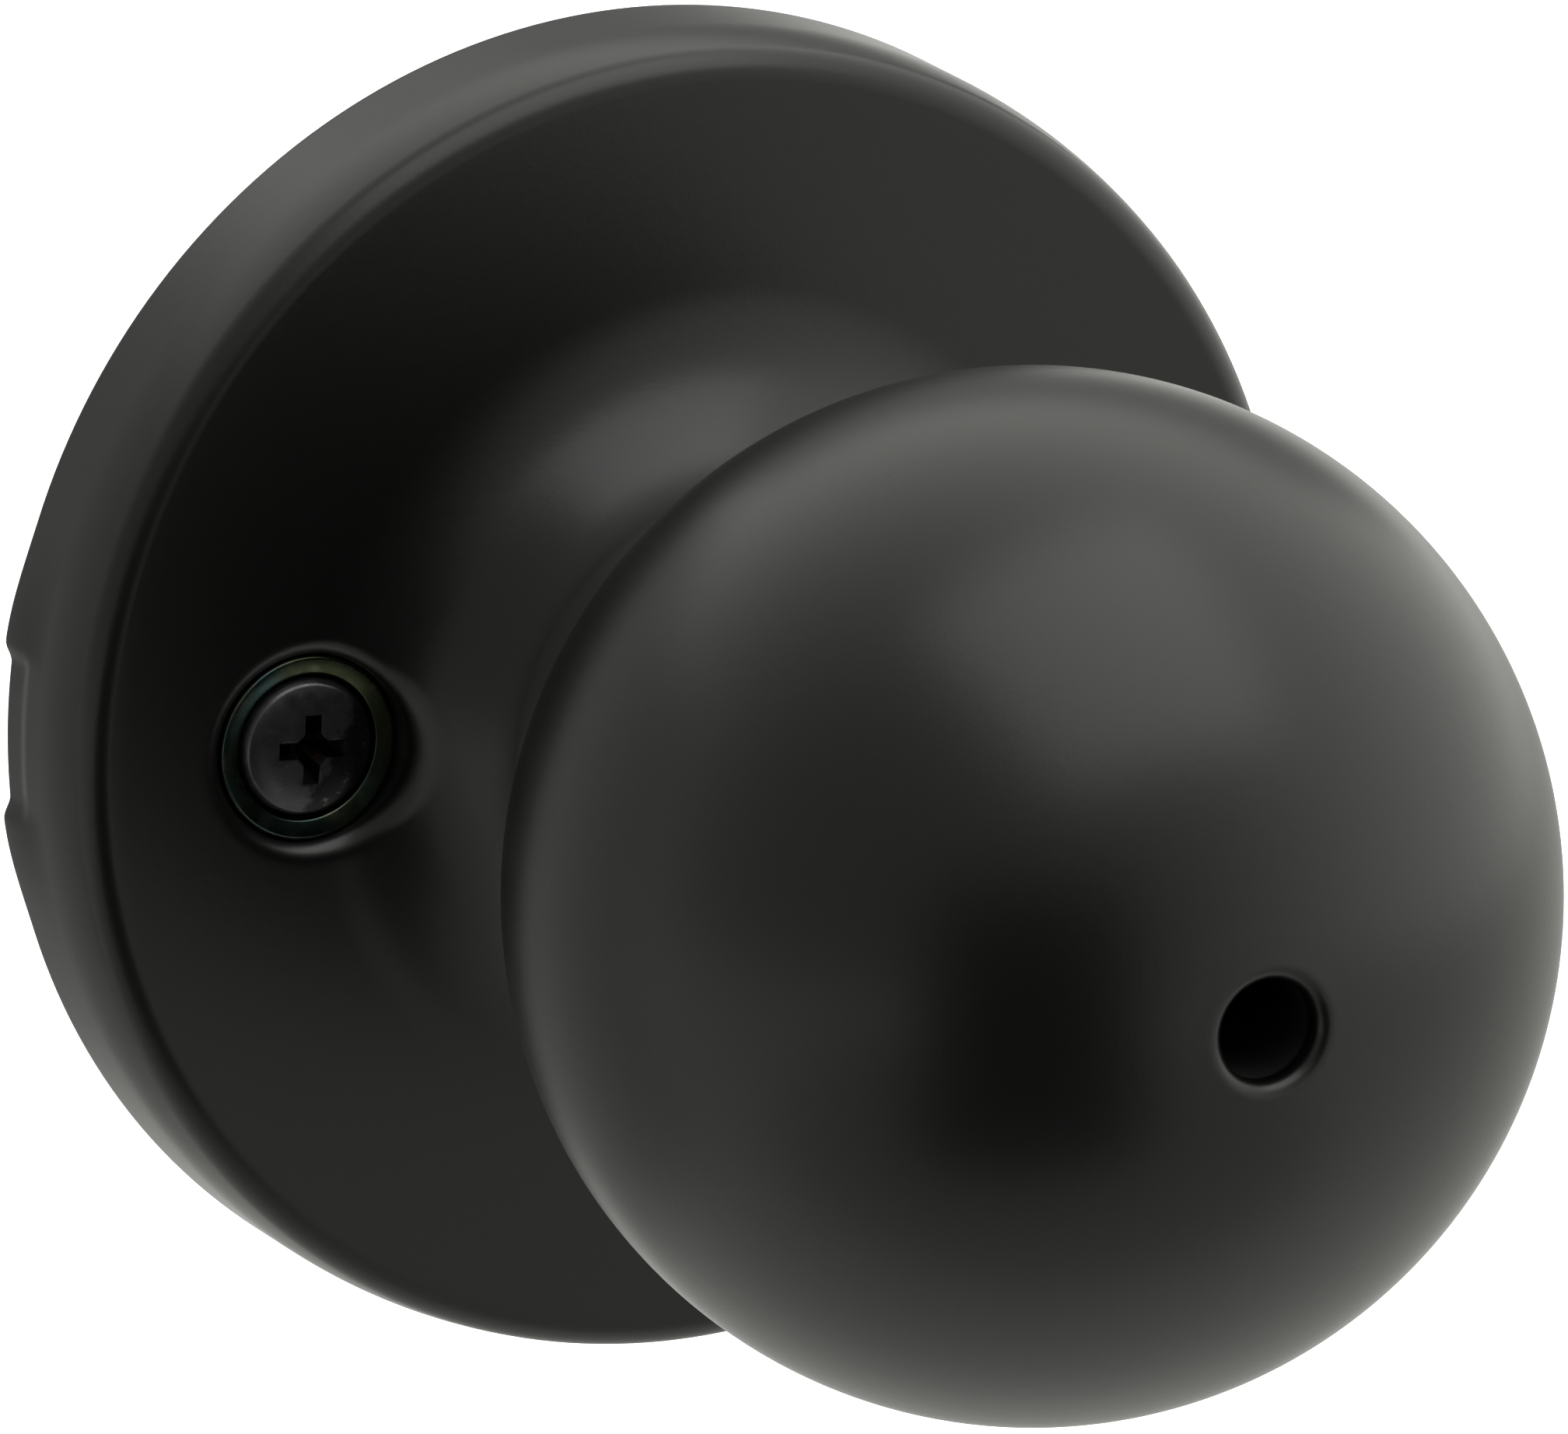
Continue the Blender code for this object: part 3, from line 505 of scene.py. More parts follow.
def rose_profile():
    """The rose's outer surface from the collar's rim down to the start of the straight side wall."""
    slope = math.radians(FACE_SLOPE)
    shoulder_radius, shoulder_height = shoulder_centre()
    start_radius = SWEEP_CENTRE - SWEEP_RADIUS * math.sin(slope)
    face_radius = shoulder_radius + SHOULDER_RADIUS * math.sin(slope)
    face_top = shoulder_height + SHOULDER_RADIUS * math.cos(slope)
    start_height = face_top + (face_radius - start_radius) * math.tan(slope)
    sweep_height = start_height + SWEEP_RADIUS * math.cos(slope)
    points = arc(COLLAR_RADIUS - LIP_RADIUS, COLLAR_TOP - LIP_RADIUS, LIP_RADIUS, 110, 10, LIP_SEGMENTS)
    points += arc(SWEEP_CENTRE, sweep_height, SWEEP_RADIUS, 270 - SWEEP_END, 270 - FACE_SLOPE, 26)
    cone_start = points[-1]
    ending = arc(shoulder_radius, shoulder_height, SHOULDER_RADIUS, 90 - FACE_SLOPE, EASE_END, 10)
    ending += arc(ROSE_RADIUS - WALL_EASE, WALL_HEIGHT, WALL_EASE, EASE_END, 0, 7)[1:]
    cone_steps = 14
    for step in range(1, cone_steps):
        share = step / cone_steps
        points.append(tuple(start + (end - start) * share for start, end in zip(cone_start, ending[0])))
    return points + ending


def surface_height(radius, profile):
    """Height of the rose's outer surface at a radius between the collar's lip and the shoulder."""
    face = profile[LIP_SEGMENTS + 1:]
    for (inner, height), (outer, next_height) in zip(face, face[1:]):
        if inner <= radius <= outer:
            return height + (next_height - height) * (radius - inner) / (outer - inner)
    return profile[-1][1]


def ease(value, low, high):
    """Rises smoothly from 0 at the low value to 1 at the high one."""
    share = min(max((value - low) / (high - low), 0.0), 1.0)
    return share * share * (3 - 2 * share)


def notch_shift(angle, height):
    """How far the side wall stands out: less than nothing in the pry recess, more beside it."""
    if math.cos(angle) > 0:
        return 0.0
    along = abs(ROSE_RADIUS * math.sin(angle))
    beside = ease(along, NOTCH_HALF - NOTCH_EASE, NOTCH_HALF)
    inward = (1 - beside) * (1 - ease(height, NOTCH_HEIGHT - NOTCH_EASE, NOTCH_HEIGHT))
    outward = beside * (1 - ease(along, NOTCH_HALF, NOTCH_HALF + SWELL_LENGTH))
    outward *= 1 - ease(height, 0.0, SWELL_HEIGHT)
    return SWELL_DEPTH * outward - NOTCH_DEPTH * inward


def rose_angles():
    """Column angles once round the rose, closer together by the pry recess."""
    wide, narrow = math.radians(1.5), math.radians(0.375)
    narrow_half = 7.0 * MM
    angle = -math.pi / 2
    end = angle + TURN - 1e-6
    angles = []
    while angle < end:
        angles.append(angle)
        near = math.cos(angle) < 0 and abs(ROSE_RADIUS * math.sin(angle)) < narrow_half
        angle += narrow if near else wide
    return angles


def build_rose():
    """The pressed cover: a grid of rows and columns round the axis, with a drawn well for each screw."""
    profile = rose_profile()
    angles = rose_angles()
    columns, wall_rows = len(angles), 22
    vertices = []
    for radius, height in profile:
        vertices += [world(radius, angle, height) for angle in angles]
    for row in range(1, wall_rows + 1):
        for angle in angles:
            height = WALL_HEIGHT * (1 - row / wall_rows)
            vertices.append(world(ROSE_RADIUS + notch_shift(angle, height), angle, height))
    grid = [list(range(start, start + columns)) for start in range(0, len(vertices), columns)]
    wells = [Vector((side * WELL_X, 0.0)) for side in (-1, 1)]
    clear = WELL_RADIUS + WELL_ROLL + WELL_MARGIN

    def near_well(corners):
        """The number of the well that a face comes close to, if there is one."""
        for corner in corners:
            for number, well in enumerate(wells):
                if (seen_flat(vertices[corner]) - well).length < clear + GRID_CLEARANCE:
                    return number
        return None

    faces, dropped = [], {0: [], 1: []}
    for upper, lower in zip(grid, grid[1:]):
        for corners in band(upper, lower):
            number = near_well(corners)
            if number is None:
                faces.append(corners)
            else:
                dropped[number].append(corners)
    for number, well in enumerate(wells):
        faces += well_faces(vertices, dropped[number], well, clear, profile)
    cover = new_piece("rose_cover", vertices, faces, PAINT)
    work = bmesh.new()
    work.from_mesh(cover.data)
    loose = [vertex for vertex in work.verts if not vertex.link_faces]
    bmesh.ops.delete(work, geom=loose, context="VERTS")
    work.to_mesh(cover.data)
    work.free()
    thick = cover.modifiers.new("Sheet", "SOLIDIFY")
    thick.thickness = ROSE_SHEET
    thick.offset = -1.0
    thick.use_even_offset = True
    apply_modifiers(cover)
    ease_edges(cover, 0.22 * MM, 50, 3)
    return cover


def seen_flat(point):
    """The point as seen along the knob's axis."""
    return Vector((point.x, point.z))


def well_faces(vertices, dropped, well, clear, profile):
    """Faces that join the grid's gap to a round well with a rolled lip and a short drawn tube."""
    around, roll_steps = 96, 10
    rings = []
    drops = [(clear, 0.0), (clear - WELL_MARGIN / 2, 0.0)]
    for step in range(roll_steps + 1):
        bend = math.radians(90 * step / roll_steps)
        drops.append((WELL_RADIUS + WELL_ROLL * (1 - math.sin(bend)), WELL_ROLL * (1 - math.cos(bend))))
    for distance, drop in drops:
        ring = []
        for step in range(around):
            angle = TURN * step / around
            x = well.x + distance * math.cos(angle)
            z = well.y + distance * math.sin(angle)
            ring.append(len(vertices))
            vertices.append(Vector((x, -(surface_height(math.hypot(x, z), profile) - drop), z)))
        rings.append(ring)
    mouth = rings[-1]
    for share in (0.25, 0.5, 0.75, 1.0):
        ring = []
        for index in mouth:
            top = vertices[index]
            ring.append(len(vertices))
            vertices.append(Vector((top.x, top.y + (-WELL_TUBE_BASE - top.y) * share, top.z)))
        rings.append(ring)
    faces = []
    for outer, inner in zip(rings, rings[1:]):
        faces += band(outer, inner, flip=True)
    return faces + gap_faces(vertices, dropped, rings[0], well, clear)


def gap_faces(vertices, dropped, rim, well, clear):
    """Triangles between the border of the dropped faces and the well's outermost ring."""
    uses = {}
    for corners in dropped:
        for start, end in zip(corners, corners[1:] + corners[:1]):
            side = (min(start, end), max(start, end))
            uses[side] = uses.get(side, 0) + 1
    border = [side for side, count in uses.items() if count == 1]
    on_border = sorted({index for side in border for index in side})
    number_of = {index: number for number, index in enumerate(on_border)}
    edges = [(number_of[start], number_of[end]) for start, end in border]
    first = len(on_border)
    edges += [(first + step, first + (step + 1) % len(rim)) for step in range(len(rim))]
    joined = on_border + rim
    points = [seen_flat(vertices[index]) for index in joined]
    flat, _, triangles, origin, _, _ = delaunay_2d_cdt(points, edges, [], 1, 1e-9)
    outline = [(seen_flat(vertices[start]), seen_flat(vertices[end])) for start, end in border]
    faces = []
    for triangle in triangles:
        centre = sum((flat[number] for number in triangle), Vector((0.0, 0.0))) / len(triangle)
        if (centre - well).length < clear * 0.999 or not inside(centre, outline):
            continue
        corners = [joined[origin[number][0]] for number in triangle]
        one, two, three = (vertices[index] for index in corners)
        if (two - one).cross(three - one).y > 0:
            corners.reverse()
        faces.append(corners)
    return faces


def inside(point, outline):
    """Whether a line from the point to one side crosses the outline an odd number of times."""
    crossings = 0
    for start, end in outline:
        if (start.y > point.y) != (end.y > point.y):
            if point.x < (end.x - start.x) * (point.y - start.y) / (end.y - start.y) + start.x:
                crossings += 1
    return crossings % 2 == 1


# The knob's shell

def build_shell():
    """Ball and neck in one hollow shell: from the release hole down the outside and back up the inside."""
    past_hole_edge = 0.6
    fillet_radius = NECK_RADIUS + NECK_FILLET
    fillet_height = BALL_CENTRE - math.sqrt((BALL_RADIUS + NECK_FILLET) ** 2 - fillet_radius ** 2)
    toward_ball = math.degrees(math.atan2(BALL_CENTRE - fillet_height, -fillet_radius))
    edge_radius = HOLE_RADIUS + HOLE_ROLL
    edge_angle = math.degrees(math.acos(edge_radius / BALL_RADIUS))
    edge_height = BALL_CENTRE + BALL_RADIUS * math.sin(math.radians(edge_angle))
    inner_ball = BALL_RADIUS - BALL_WALL
    inner_neck = NECK_RADIUS - NECK_WALL
    inner_low = -math.degrees(math.acos(inner_neck / inner_ball))
    inner_high = math.degrees(math.acos(HOLE_RADIUS / inner_ball))
    profile = arc(edge_radius, edge_height - HOLE_ROLL, HOLE_ROLL, 180, 84, 8)
    profile += arc(0.0, BALL_CENTRE, BALL_RADIUS, edge_angle - past_hole_edge, toward_ball - 180, 96)
    profile += arc(fillet_radius, fillet_height, NECK_FILLET, toward_ball, 180, 10)[1:]
    neck_end = [
        (NECK_RADIUS, NECK_END + MM), (NECK_RADIUS, NECK_END),
        (inner_neck, NECK_END), (inner_neck, NECK_END + MM),
    ]
    profile += rounded(neck_end, 0.15 * MM, closed=False)
    profile += arc(0.0, BALL_CENTRE, inner_ball, inner_low, inner_high, 40)
    return lathe("knob_ball", profile, PAINT, steps=224)


# The liner with its screw cups

LINER_TOP = 6.9 * MM
LINER_SHEET = 0.8 * MM
LINER_BOTTOM = LINER_TOP - LINER_SHEET
LINER_EDGE = 0.3 * MM
LINER_RADIUS = 31.9 * MM
LINER_BORE = 10.6 * MM
CUP_RADIUS = 4.67 * MM
CUP_WALL = 1.0 * MM
CUP_RIM = 8.75 * MM
SCREW_HOLE_RADIUS = 2.5 * MM
RIVET_CIRCLE = 23.0 * MM
RIVET_HOLE_RADIUS = 1.45 * MM
RIVETS = 4


def rivet_place(index):
    """Where a rivet stands, across the knob's axis and up."""
    angle = math.radians(45 + 90 * index)
    return RIVET_CIRCLE * math.cos(angle), RIVET_CIRCLE * math.sin(angle)


def sheet_holes(well_radius, low, high):
    """Cutters for both screws and for the rivets, through a sheet between two heights."""
    holes = [drill(well_radius, low, high, x=x) for x in (-WELL_X, WELL_X)]
    return holes + [drill(RIVET_HOLE_RADIUS, low, high, *rivet_place(index)) for index in range(RIVETS)]


def build_liner():
    """The pan under the rose, with a rim that reaches down inside the rose's side wall."""
    rim_inside = LINER_RADIUS - LINER_SHEET
    profile = [
        (LINER_BORE, LINER_TOP), (LINER_RADIUS, LINER_TOP), (LINER_RADIUS, LINER_EDGE),
        (rim_inside, LINER_EDGE), (rim_inside, LINER_BOTTOM), (LINER_BORE, LINER_BOTTOM),
    ]
    pan = lathe("liner_pan", rounded(profile, 0.7 * MM, segments=6), BLACK_ZINC, steps=192)
    return cut(pan, *sheet_holes(CUP_RADIUS - 0.1 * MM, 4 * MM, 9 * MM))


def build_cup(side, x):
    """A drawn cup with a wide, slightly dished rim. The screw's head clamps its floor."""
    inner = CUP_RADIUS - CUP_WALL
    profile = [
        (inner, CUP_RIM - 0.24 * MM), (CUP_RADIUS - 0.15 * MM, CUP_RIM), (CUP_RADIUS, CUP_RIM - 0.12 * MM),
        (CUP_RADIUS, LINER_TOP + 0.4 * MM), (CUP_RADIUS + 0.6 * MM, LINER_TOP + 0.05 * MM),
        (CUP_RADIUS, LINER_BOTTOM), (SCREW_HOLE_RADIUS, LINER_BOTTOM), (SCREW_HOLE_RADIUS, LINER_TOP),
        (inner, LINER_TOP),
    ]
    return lathe(f"screw_cup_{side}", rounded(profile, 0.14 * MM), BLACK_ZINC, steps=96, x=x)


# Screws

HEAD_RADIUS = 3.45 * MM
HEAD_TOP = 9.2 * MM
HEAD_SEAT = 7.2 * MM
THREAD_RADIUS = 2.08 * MM
THREAD_DEPTH = 0.42 * MM
THREAD_PITCH = 25.4 / 32 * MM
SCREW_END = -18.2 * MM
RECESS_DEPTH = 1.9 * MM
RECESS_SPAN = 3.9 * MM
RECESS_WIDTH = 0.95 * MM
RECESS_HUB = 1.9 * MM


def build_screw(side, x, twist):
    """A low domed head with a tapered cross recess, turned by the twist, and its threaded shank."""
    dome = [
        (0.0, HEAD_TOP), (HEAD_RADIUS * 0.3, HEAD_TOP - 0.03 * MM),
        (HEAD_RADIUS * 0.55, HEAD_TOP - 0.10 * MM), (HEAD_RADIUS * 0.78, HEAD_TOP - 0.22 * MM),
        (HEAD_RADIUS * 0.94, HEAD_TOP - 0.38 * MM), (HEAD_RADIUS, HEAD_TOP - 0.70 * MM),
        (HEAD_RADIUS, HEAD_SEAT), (0.0, HEAD_SEAT),
    ]
    head = lathe(f"screw_head_{side}", rounded(dome, 0.12 * MM, False), SCREW, steps=96, closed=False, x=x)
    head.data.materials.append(RECESS_PAINTED_SHADE)
    head.data.materials.append(WORN_AND_PAINTED_SHADE)
    above = 0.25 * MM
    centre = (x, -(HEAD_TOP - RECESS_DEPTH / 2 + above), 0.0)
    level_arm = block("arm_across", (RECESS_SPAN, RECESS_DEPTH, RECESS_WIDTH), centre, 0.42)
    upright_arm = block("arm_upright", (RECESS_WIDTH, RECESS_DEPTH, RECESS_SPAN), centre, 0.42)
    hub = block("arm_hub", (RECESS_HUB, RECESS_DEPTH, RECESS_HUB), centre, 0.5)
    hub_cut = (hub, WORN_AND_PAINTED_SHADE, math.radians(45) + twist)
    # The cross arms take the recess's painted shade. The hub takes worn metal, which is also painted darker
    # past the ragged line.
    for cutter, shade_and_wear_material, turn in ((level_arm, RECESS_PAINTED_SHADE, twist), (upright_arm, RECESS_PAINTED_SHADE, twist), hub_cut):
        cutter.data.materials.append(shade_and_wear_material)
        cutter.rotation_euler = (0.0, turn, 0.0)
    cut(head, level_arm, upright_arm, hub)
    ease_edges(head, 0.07 * MM, 35, 2)
    return head, build_thread(side, x)


def build_thread(side, x):
    """A number 8-32 shank: the radius rises and falls along a helix and narrows at the tip."""
    around, rows_per_pitch = 48, 8
    tip_length, tip_drop, thread_start = 0.9 * MM, 0.55 * MM, 0.8 * MM
    length = HEAD_SEAT - SCREW_END
    rows = round(length / THREAD_PITCH * rows_per_pitch)
    vertices, rings, faces = [], [], []
    for row in range(rows + 1):
        height = HEAD_SEAT - length * row / rows
        tip = min(max((height - SCREW_END) / tip_length, 0.0), 1.0)
        start = min(max((HEAD_SEAT - height) / thread_start - 0.2, 0.0), 1.0)
        rings.append(list(range(len(vertices), len(vertices) + around)))
        for step in range(around):
            angle = TURN * step / around
            phase = (height / THREAD_PITCH + step / around) % 1.0
            wave = min(1.0, max(0.0, 1.35 * (1 - abs(2 * phase - 1)) - 0.12))
            radius = THREAD_RADIUS - THREAD_DEPTH * start * (1 - wave) - tip_drop * (1 - tip)
            vertices.append(world(radius, angle, height) + Vector((x, 0, 0)))
    for upper, lower in zip(rings, rings[1:]):
        faces += band(upper, lower)
    faces.append(rings[-1][::-1])
    faces.append(rings[0])
    return new_piece(f"screw_thread_{side}", vertices, faces, SCREW)


# The return spring

SPRING_RADIUS = 11.0 * MM
WIRE_RADIUS = 0.7 * MM
SPRING_TURNS = 4.5
SPRING_FRONT = 0.2 * MM
SPRING_BACK = -7.0 * MM
SPRING_START = math.radians(270)


def build_spring():
    """A leg that points out at the front, the coil, and a tang that points back."""
    steps = round(SPRING_TURNS * 40)
    end = SPRING_START + SPRING_TURNS * TURN
    path = [world(SPRING_RADIUS + out * MM, SPRING_START, SPRING_FRONT) for out in (3.4, 2.4, 1.4, 0.8)]
    for step in range(1, steps):
        share = step / steps
        height = SPRING_FRONT + (SPRING_BACK - SPRING_FRONT) * share
        path.append(world(SPRING_RADIUS, SPRING_START + share * SPRING_TURNS * TURN, height))
    path += [world(SPRING_RADIUS, end, SPRING_BACK - down * MM) for down in (0.4, 1.0, 1.6, 2.2)]
    return sweep("torsion_spring", path, WIRE_RADIUS, SPRING)


# Pieces behind the rose

def build_cage():
    """The pressed cage: a flange behind the liner, and a drum whose back lets the shank through."""
    top, back, sheet = 5.7 * MM, -12.2 * MM, 0.8 * MM
    bore, drum, flange = 8.6 * MM, 16.0 * MM, 28.5 * MM
    inner = drum - sheet
    profile = [
        (inner, top), (flange, top), (flange, top - sheet), (drum, top - sheet), (drum, back), (bore, back),
        (bore, back + sheet), (inner, back + sheet),
    ]
    cage = lathe("cage_pressing", rounded(profile, 0.9 * MM, segments=6), ZINC, steps=160)
    cut(cage, *sheet_holes(SCREW_HOLE_RADIUS, 4 * MM, 7 * MM))
    ease_edges(cage, 0.12 * MM, 50, 2)
    return cage


def build_rivet(index):
    """A rivet with a domed head in front and an upset tail behind."""
    x, z = rivet_place(index)
    head_seat, tail_seat, tail_end = 7.2 * MM, 4.6 * MM, 4.15 * MM
    flange, body = 2.0 * MM, 1.15 * MM
    profile = arc(0.0, head_seat - 1.9 * MM, 2.7 * MM, 90, 45, 6)
    profile += [(flange, head_seat), (body, head_seat), (body, tail_seat), (flange, tail_seat)]
    profile += [(1.7 * MM, 4.1 * MM), (0.9 * MM, 4.0 * MM), (0.0, tail_end)]
    outline = rounded(profile, 0.15 * MM, closed=False)
    return lathe(f"rivet_{index + 1}", outline, ZINC, steps=48, closed=False, x=x, z=z)


def build_shank():
    """The tube that carries the knob. Its back is slotted for the driver's tangs and grooved for the ring."""
    bore, radius, groove = 6.9 * MM, 8.0 * MM, 7.45 * MM
    front, back = 20.6 * MM, -16.5 * MM
    groove_front, groove_back = -13.3 * MM, -14.7 * MM
    profile = [
        (bore, front), (radius, front), (radius, groove_front), (groove, groove_front),
        (groove, groove_back), (radius, groove_back), (radius, back), (bore, back),
    ]
    shank = lathe("shank_tube", rounded(profile, 0.15 * MM), ZINC, steps=112)
    cut(shank, block("shank_slots", (20 * MM, 8.3 * MM, 3.2 * MM), (0.0, 13.35 * MM, 0.0)))
    ease_edges(shank, 0.10 * MM, 50, 2)
    return shank


def build_ring(name, inner, outer, top, thickness, opening, steps):
    """A flat split ring, open at the bottom."""
    profile = [(inner, top), (outer, top), (outer, top - thickness), (inner, top - thickness)]
    ring = lathe(name, profile, SPRING, steps=steps)
    mouth = block("mouth", (opening, 4 * thickness, 2 * outer), (0.0, -(top - thickness / 2), -outer))
    cut(ring, mouth)
    ease_edges(ring, 0.12 * MM, 50, 3)
    return ring


def build_spindle():
    """The tube that turns the latch, with one flat along its back part."""
    bore, radius, flat_side = 2.75 * MM, 4.0 * MM, 3.25 * MM
    front, back, flat_front = 30.5 * MM, -42.0 * MM, -17.5 * MM
    profile = [(bore, front), (radius, front), (radius, back), (bore, back)]
    tube = lathe("spindle_tube", rounded(profile, 0.15 * MM), ZINC, steps=80)
    middle, length = (flat_front + back - MM) / 2, flat_front - back + MM
    cut(tube, block("spindle_flat", (4 * MM, length, 12 * MM), (flat_side + 2 * MM, -middle, 0.0)))
    ease_edges(tube, 0.10 * MM, 40, 2)
    return tube


def build_stem():
    """The rod that the release tool turns: a slotted head, two grooves and a tail with two flats."""
    radius, front, back = 2.2 * MM, 38.0 * MM, -48.0 * MM
    friction_groove, friction_front, friction_back = 1.6 * MM, 36.3 * MM, 34.9 * MM
    clip_groove, clip_front, clip_back = 1.55 * MM, -42.3 * MM, -43.2 * MM
    profile = [
        (0.0, front), (radius, front),
        (radius, friction_front), (friction_groove, friction_front),
        (friction_groove, friction_back), (radius, friction_back),
        (radius, clip_front), (clip_groove, clip_front),
        (clip_groove, clip_back), (radius, clip_back),
        (radius, back), (0.0, back),
    ]
    stem = lathe("stem_rod", rounded(profile, 0.2 * MM, False), BRASS, steps=64, closed=False)
    tools = [block("stem_slot", (6 * MM, 2.4 * MM, 0.9 * MM), (0.0, -front, 0.0))]
    for side in (-1, 1):
        tools.append(block("stem_flat", (2.2 * MM, 5.0 * MM, 6 * MM), (side * 2.4 * MM, 46.5 * MM, 0.0)))
    cut(stem, *tools)
    ease_edges(stem, 0.08 * MM, 40, 2)
    return stem


# All pieces in their places

def place(piece, body, slot, *nodes):
    """Lets a piece ride on a body, instead of the CAD nodes that it redraws. The slot is not used."""
    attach(piece, body)
    if nodes:
        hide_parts(*nodes)


def build_pieces():
    """Everything that is drawn again. The pieces that ride on the knob or the release stem turn with it."""
    place(build_rose(), "rose_assembly", "satin_black_paint", "rose")
    place(build_shell(), "knob", "satin_black_paint", "knob_shell")
    place(build_liner(), "rose_assembly", "black_zinc_plate", "rose_liner")
    place(build_cage(), "rose_assembly", "clear_zinc_plate", "spring_cage")
    for side, x, twist in (("left", -WELL_X, math.radians(2)), ("right", WELL_X, math.radians(31))):
        place(build_cup(side, x), "rose_assembly", "black_zinc_plate")
        head, thread = build_screw(side, x, twist)
        place(head, "rose_assembly", "black_screw_finish", f"mounting_screw_{side}")
        place(thread, "rose_assembly", "black_screw_finish")
    for index in range(RIVETS):
        place(build_rivet(index), "rose_assembly", "clear_zinc_plate", f"cage_rivet_{index + 1}")
    spring = build_spring()
    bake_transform(spring)
    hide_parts("return_spring")
    place(build_shank(), "knob", "clear_zinc_plate", "knob_shank")
    place(build_spindle(), "knob", "clear_zinc_plate", "spindle")
    ring = build_ring("shank_ring", 7.75 * MM, 10.2 * MM, -13.55 * MM, 0.9 * MM, 4 * MM, 96)
    place(ring, "knob", "spring_steel", "retaining_ring")
    place(build_stem(), "release", "brass_rod", "release_stem")
    clip = build_ring("stem_ring", 1.75 * MM, 3.4 * MM, -42.45 * MM, 0.6 * MM, 1.8 * MM, 64)
    place(clip, "release", "spring_steel", "stem_clip")


def finish_nodes():
    """The CAD nodes that stay get the same finishes."""
    finishes = {
        "neck_bushing": WHITE_NYLON, "thrust_washer": SPRING, "knob_core": CASTING, "spring_driver": ZINC,
        "wave_washer": SPRING, "release_guide": BLACK_NYLON, "spindle_pin_left": SPRING,
        "spindle_pin_right": SPRING, "friction_ring": RUBBER,
    }
    for name, material in finishes.items():
        data = frame["nodes"][name].data
        data.materials.clear()
        data.materials.append(material)


# Camera, floor and light

CAMERA_AZIMUTH = math.radians(-26.24)
CAMERA_ELEVATION = math.radians(15.57)
CAMERA_ROLL = math.radians(1.13)
CAMERA_DISTANCE = 1091 * MM
CAMERA_LENS = 513.8
CAMERA_MIDDLE = Vector((0, -20 * MM, 0))
AIM_LEFT = 0.627 * MM
AIM_UP = 2.202 * MM

# The floor, and the strip of it that glows behind the object, along the camera's azimuth and across it
FLOOR_DROP = 1.0
FLOOR_HALF = 9.0
GLOW_AHEAD = (0.442, 0.897, 0.0)
GLOW_ASIDE = (0.897, -0.442, 0.0)
GLOW_START = 1.5
GLOW_FULL = 2.6
GLOW_EDGE = 0.9
GLOW_CORE = 0.4


def direction(azimuth, elevation):
    """Unit vector from the object to a viewer at that azimuth and elevation, in radians."""
    flat = math.cos(elevation)
    return Vector((math.sin(azimuth) * flat, -math.cos(azimuth) * flat, math.sin(elevation)))


def build_camera():
    """Looks at a point a little off the middle of the knob, rolled slightly about its own axis."""
    back = direction(CAMERA_AZIMUTH, CAMERA_ELEVATION)
    level = Vector((0, 0, 1)).cross(back).normalized()
    upright = back.cross(level)
    right = level * math.cos(CAMERA_ROLL) + upright * math.sin(CAMERA_ROLL)
    up = back.cross(right)
    eye = CAMERA_MIDDLE + back * CAMERA_DISTANCE
    target = CAMERA_MIDDLE - right * AIM_LEFT + up * AIM_UP
    back = (eye - target).normalized()
    right = up.cross(back).normalized()
    up = back.cross(right)
    data = bpy.data.cameras.new("camera")
    data.lens = CAMERA_LENS
    data.sensor_width = 36.0
    data.clip_start = 0.05
    data.clip_end = 60.0
    camera = add_object("camera", data)
    camera.location = eye
    camera.rotation_euler = Matrix((right, up, back)).transposed().to_euler()
    bpy.context.scene.camera = camera


def build_floor():
    """A pale floor whose glowing strip gives the camera a white background."""
    floor = plain_sheet("floor", FLOOR_HALF)
    floor.location = (0, 0, -FLOOR_DROP)
    n = Nodes("pale_floor")
    tone = n.mix(n.ramp(n.noise(1.5, 2.0), 0.3, 0.7), (0.74, 0.74, 0.73), (0.78, 0.78, 0.77))
    n.set(Base_Color=tone, Roughness=0.8, Emission_Color=(1.0, 1.0, 1.0))
    behind = n.ramp(n.along(GLOW_AHEAD), GLOW_START, GLOW_FULL)
    left = n.ramp(n.along(GLOW_ASIDE), -GLOW_EDGE, -GLOW_CORE)
    right = n.ramp(n.along(GLOW_ASIDE), GLOW_EDGE, GLOW_CORE)
    n.set(Emission_Strength=n.product(behind, left, right))
    floor.data.materials.append(n.material)


def face_object(thing, azimuth, elevation, distance, middle):
    """Stands a card or lamp round the object and hides it from the camera. Angles are in degrees."""
    toward = direction(math.radians(azimuth), math.radians(elevation))
    thing.location = middle + toward * distance
    thing.rotation_euler = toward.to_track_quat("Z", "Y").to_euler()
    thing.visible_camera = False


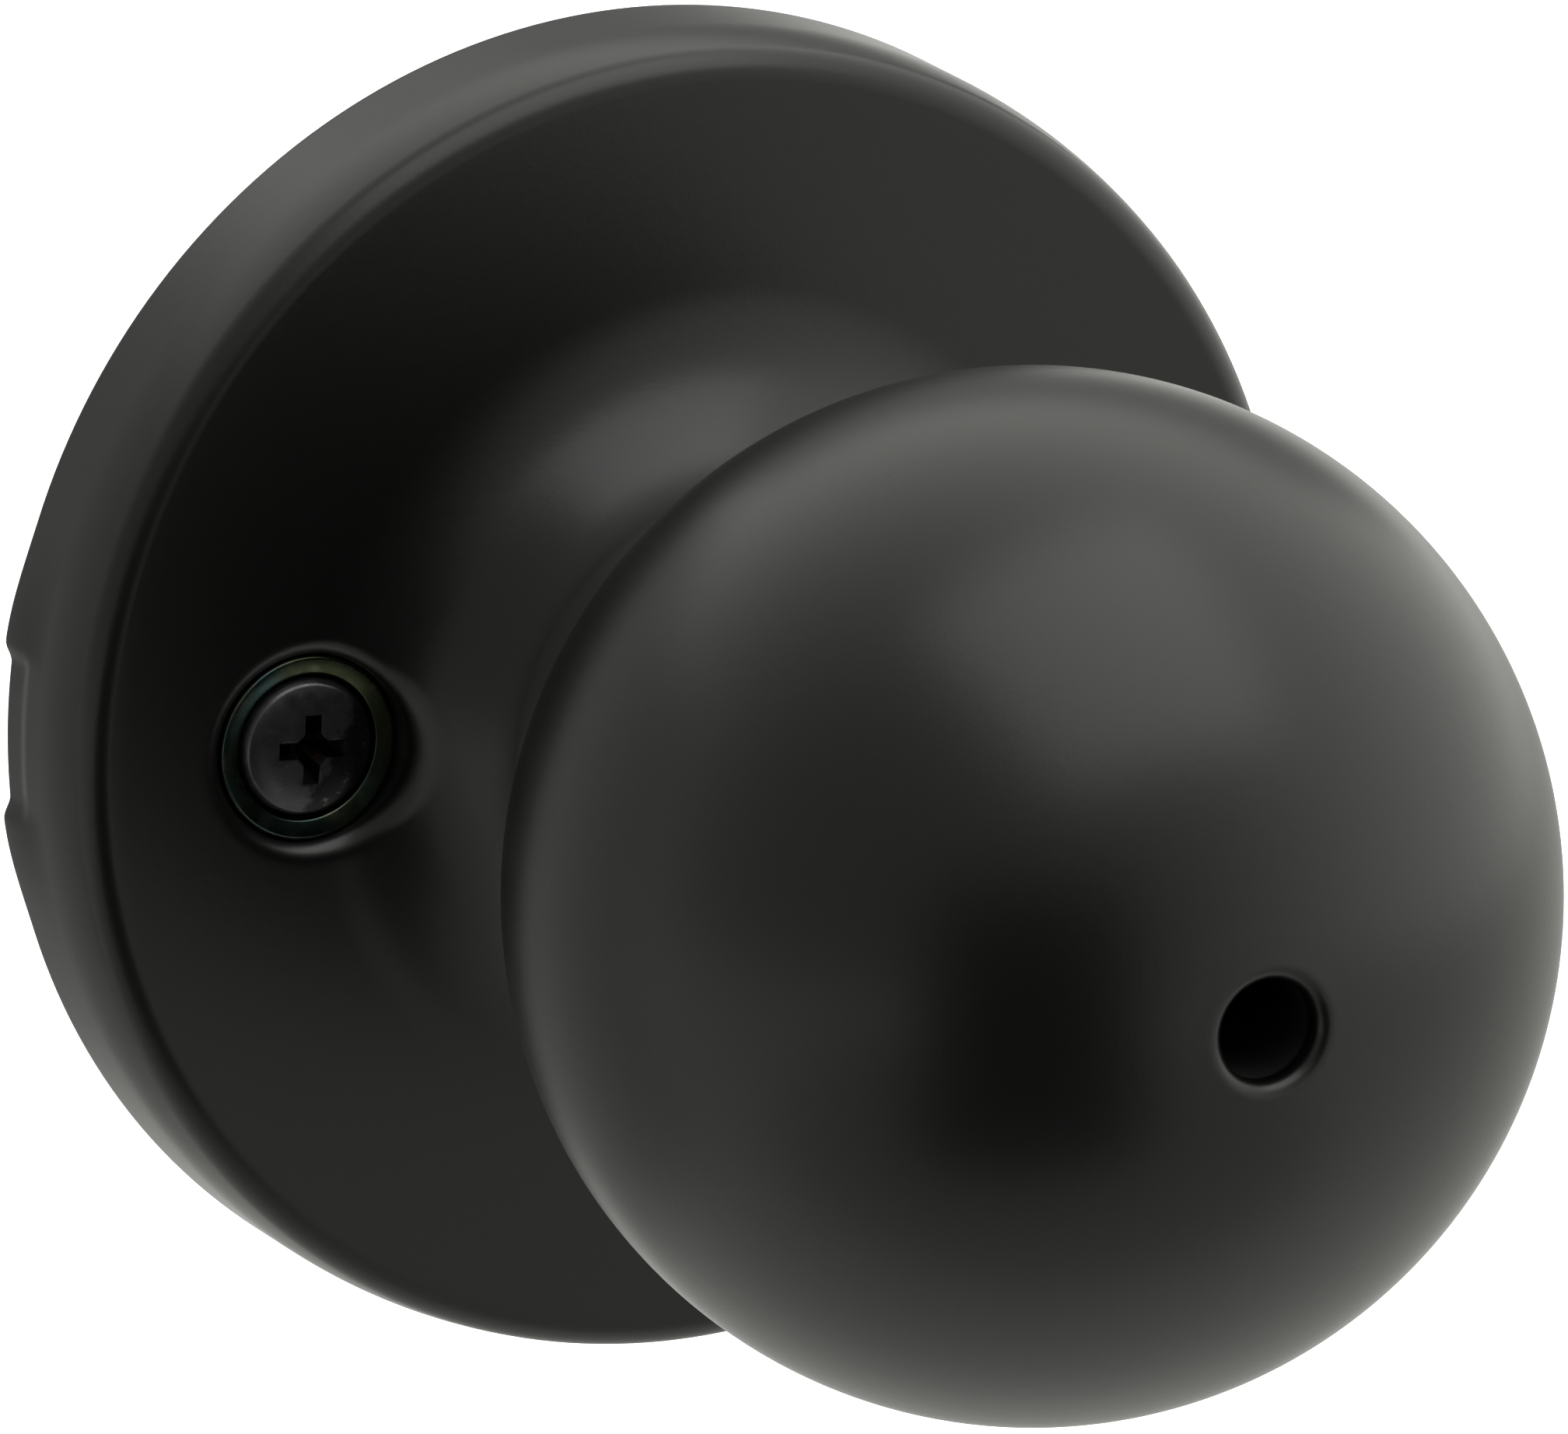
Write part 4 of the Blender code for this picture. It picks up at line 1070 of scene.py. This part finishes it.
def card(name, azimuth, elevation, distance, width, height, grey):
    """A card that shades the object from one side."""
    board = plain_sheet(name, 0.5)
    board.scale = (width, height, 1.0)
    face_object(board, azimuth, elevation, distance, Vector((0, -BALL_CENTRE, 0)))
    n = Nodes(name)
    n.set(Base_Color=(grey, grey, grey), Roughness=0.9)
    board.data.materials.append(n.material)


def area_light(name, azimuth, elevation, distance, size, power):
    """A square lamp that shines on the object."""
    data = bpy.data.lights.new(name, "AREA")
    data.shape = "SQUARE"
    data.size = size
    data.energy = power
    lamp = add_object(name, data)
    face_object(lamp, azimuth, elevation, distance, Vector((0, 0, 0)))


def build_light():
    """A white room, brighter to the right and behind, one soft box overhead and four shading cards."""
    studio = bpy.data.worlds.new("studio")
    bpy.context.scene.world = studio
    studio.use_nodes = True
    tree = studio.node_tree
    background = tree.nodes["Background"]
    coordinates = tree.nodes.new("ShaderNodeTexCoord")
    aim = tree.nodes.new("ShaderNodeVectorMath")
    aim.operation = "DOT_PRODUCT"
    aim.inputs[1].default_value = Vector((0.75, 0.62, -0.2)).normalized()
    spread = tree.nodes.new("ShaderNodeMapRange")
    spread.interpolation_type = "SMOOTHSTEP"
    spread.inputs["From Min"].default_value = -0.9
    spread.inputs["From Max"].default_value = 0.6
    spread.inputs["To Min"].default_value = 0.36
    spread.inputs["To Max"].default_value = 1.50
    tree.links.new(coordinates.outputs["Generated"], aim.inputs[0])
    tree.links.new(aim.outputs["Value"], spread.inputs["Value"])
    tree.links.new(spread.outputs["Result"], background.inputs["Strength"])
    background.inputs["Color"].default_value = (1.0, 1.0, 0.95, 1.0)
    area_light("soft_box_top", azimuth=12, elevation=67, distance=1.1, size=1.1, power=5.3)
    card("black_flag", -26, -18, distance=0.75, width=0.65, height=1.15, grey=0.01)
    card("grey_flag", -20, -48, distance=0.85, width=2.0, height=0.8, grey=0.42)
    card("side_flag", -150, -8, distance=0.90, width=1.0, height=1.2, grey=0.50)
    card("back_flag", 154, 18, distance=1.10, width=1.0, height=0.45, grey=0.50)
    bpy.context.scene.view_settings.view_transform = "Standard"


build_camera()
build_floor()
build_light()
build_pieces()
finish_nodes()
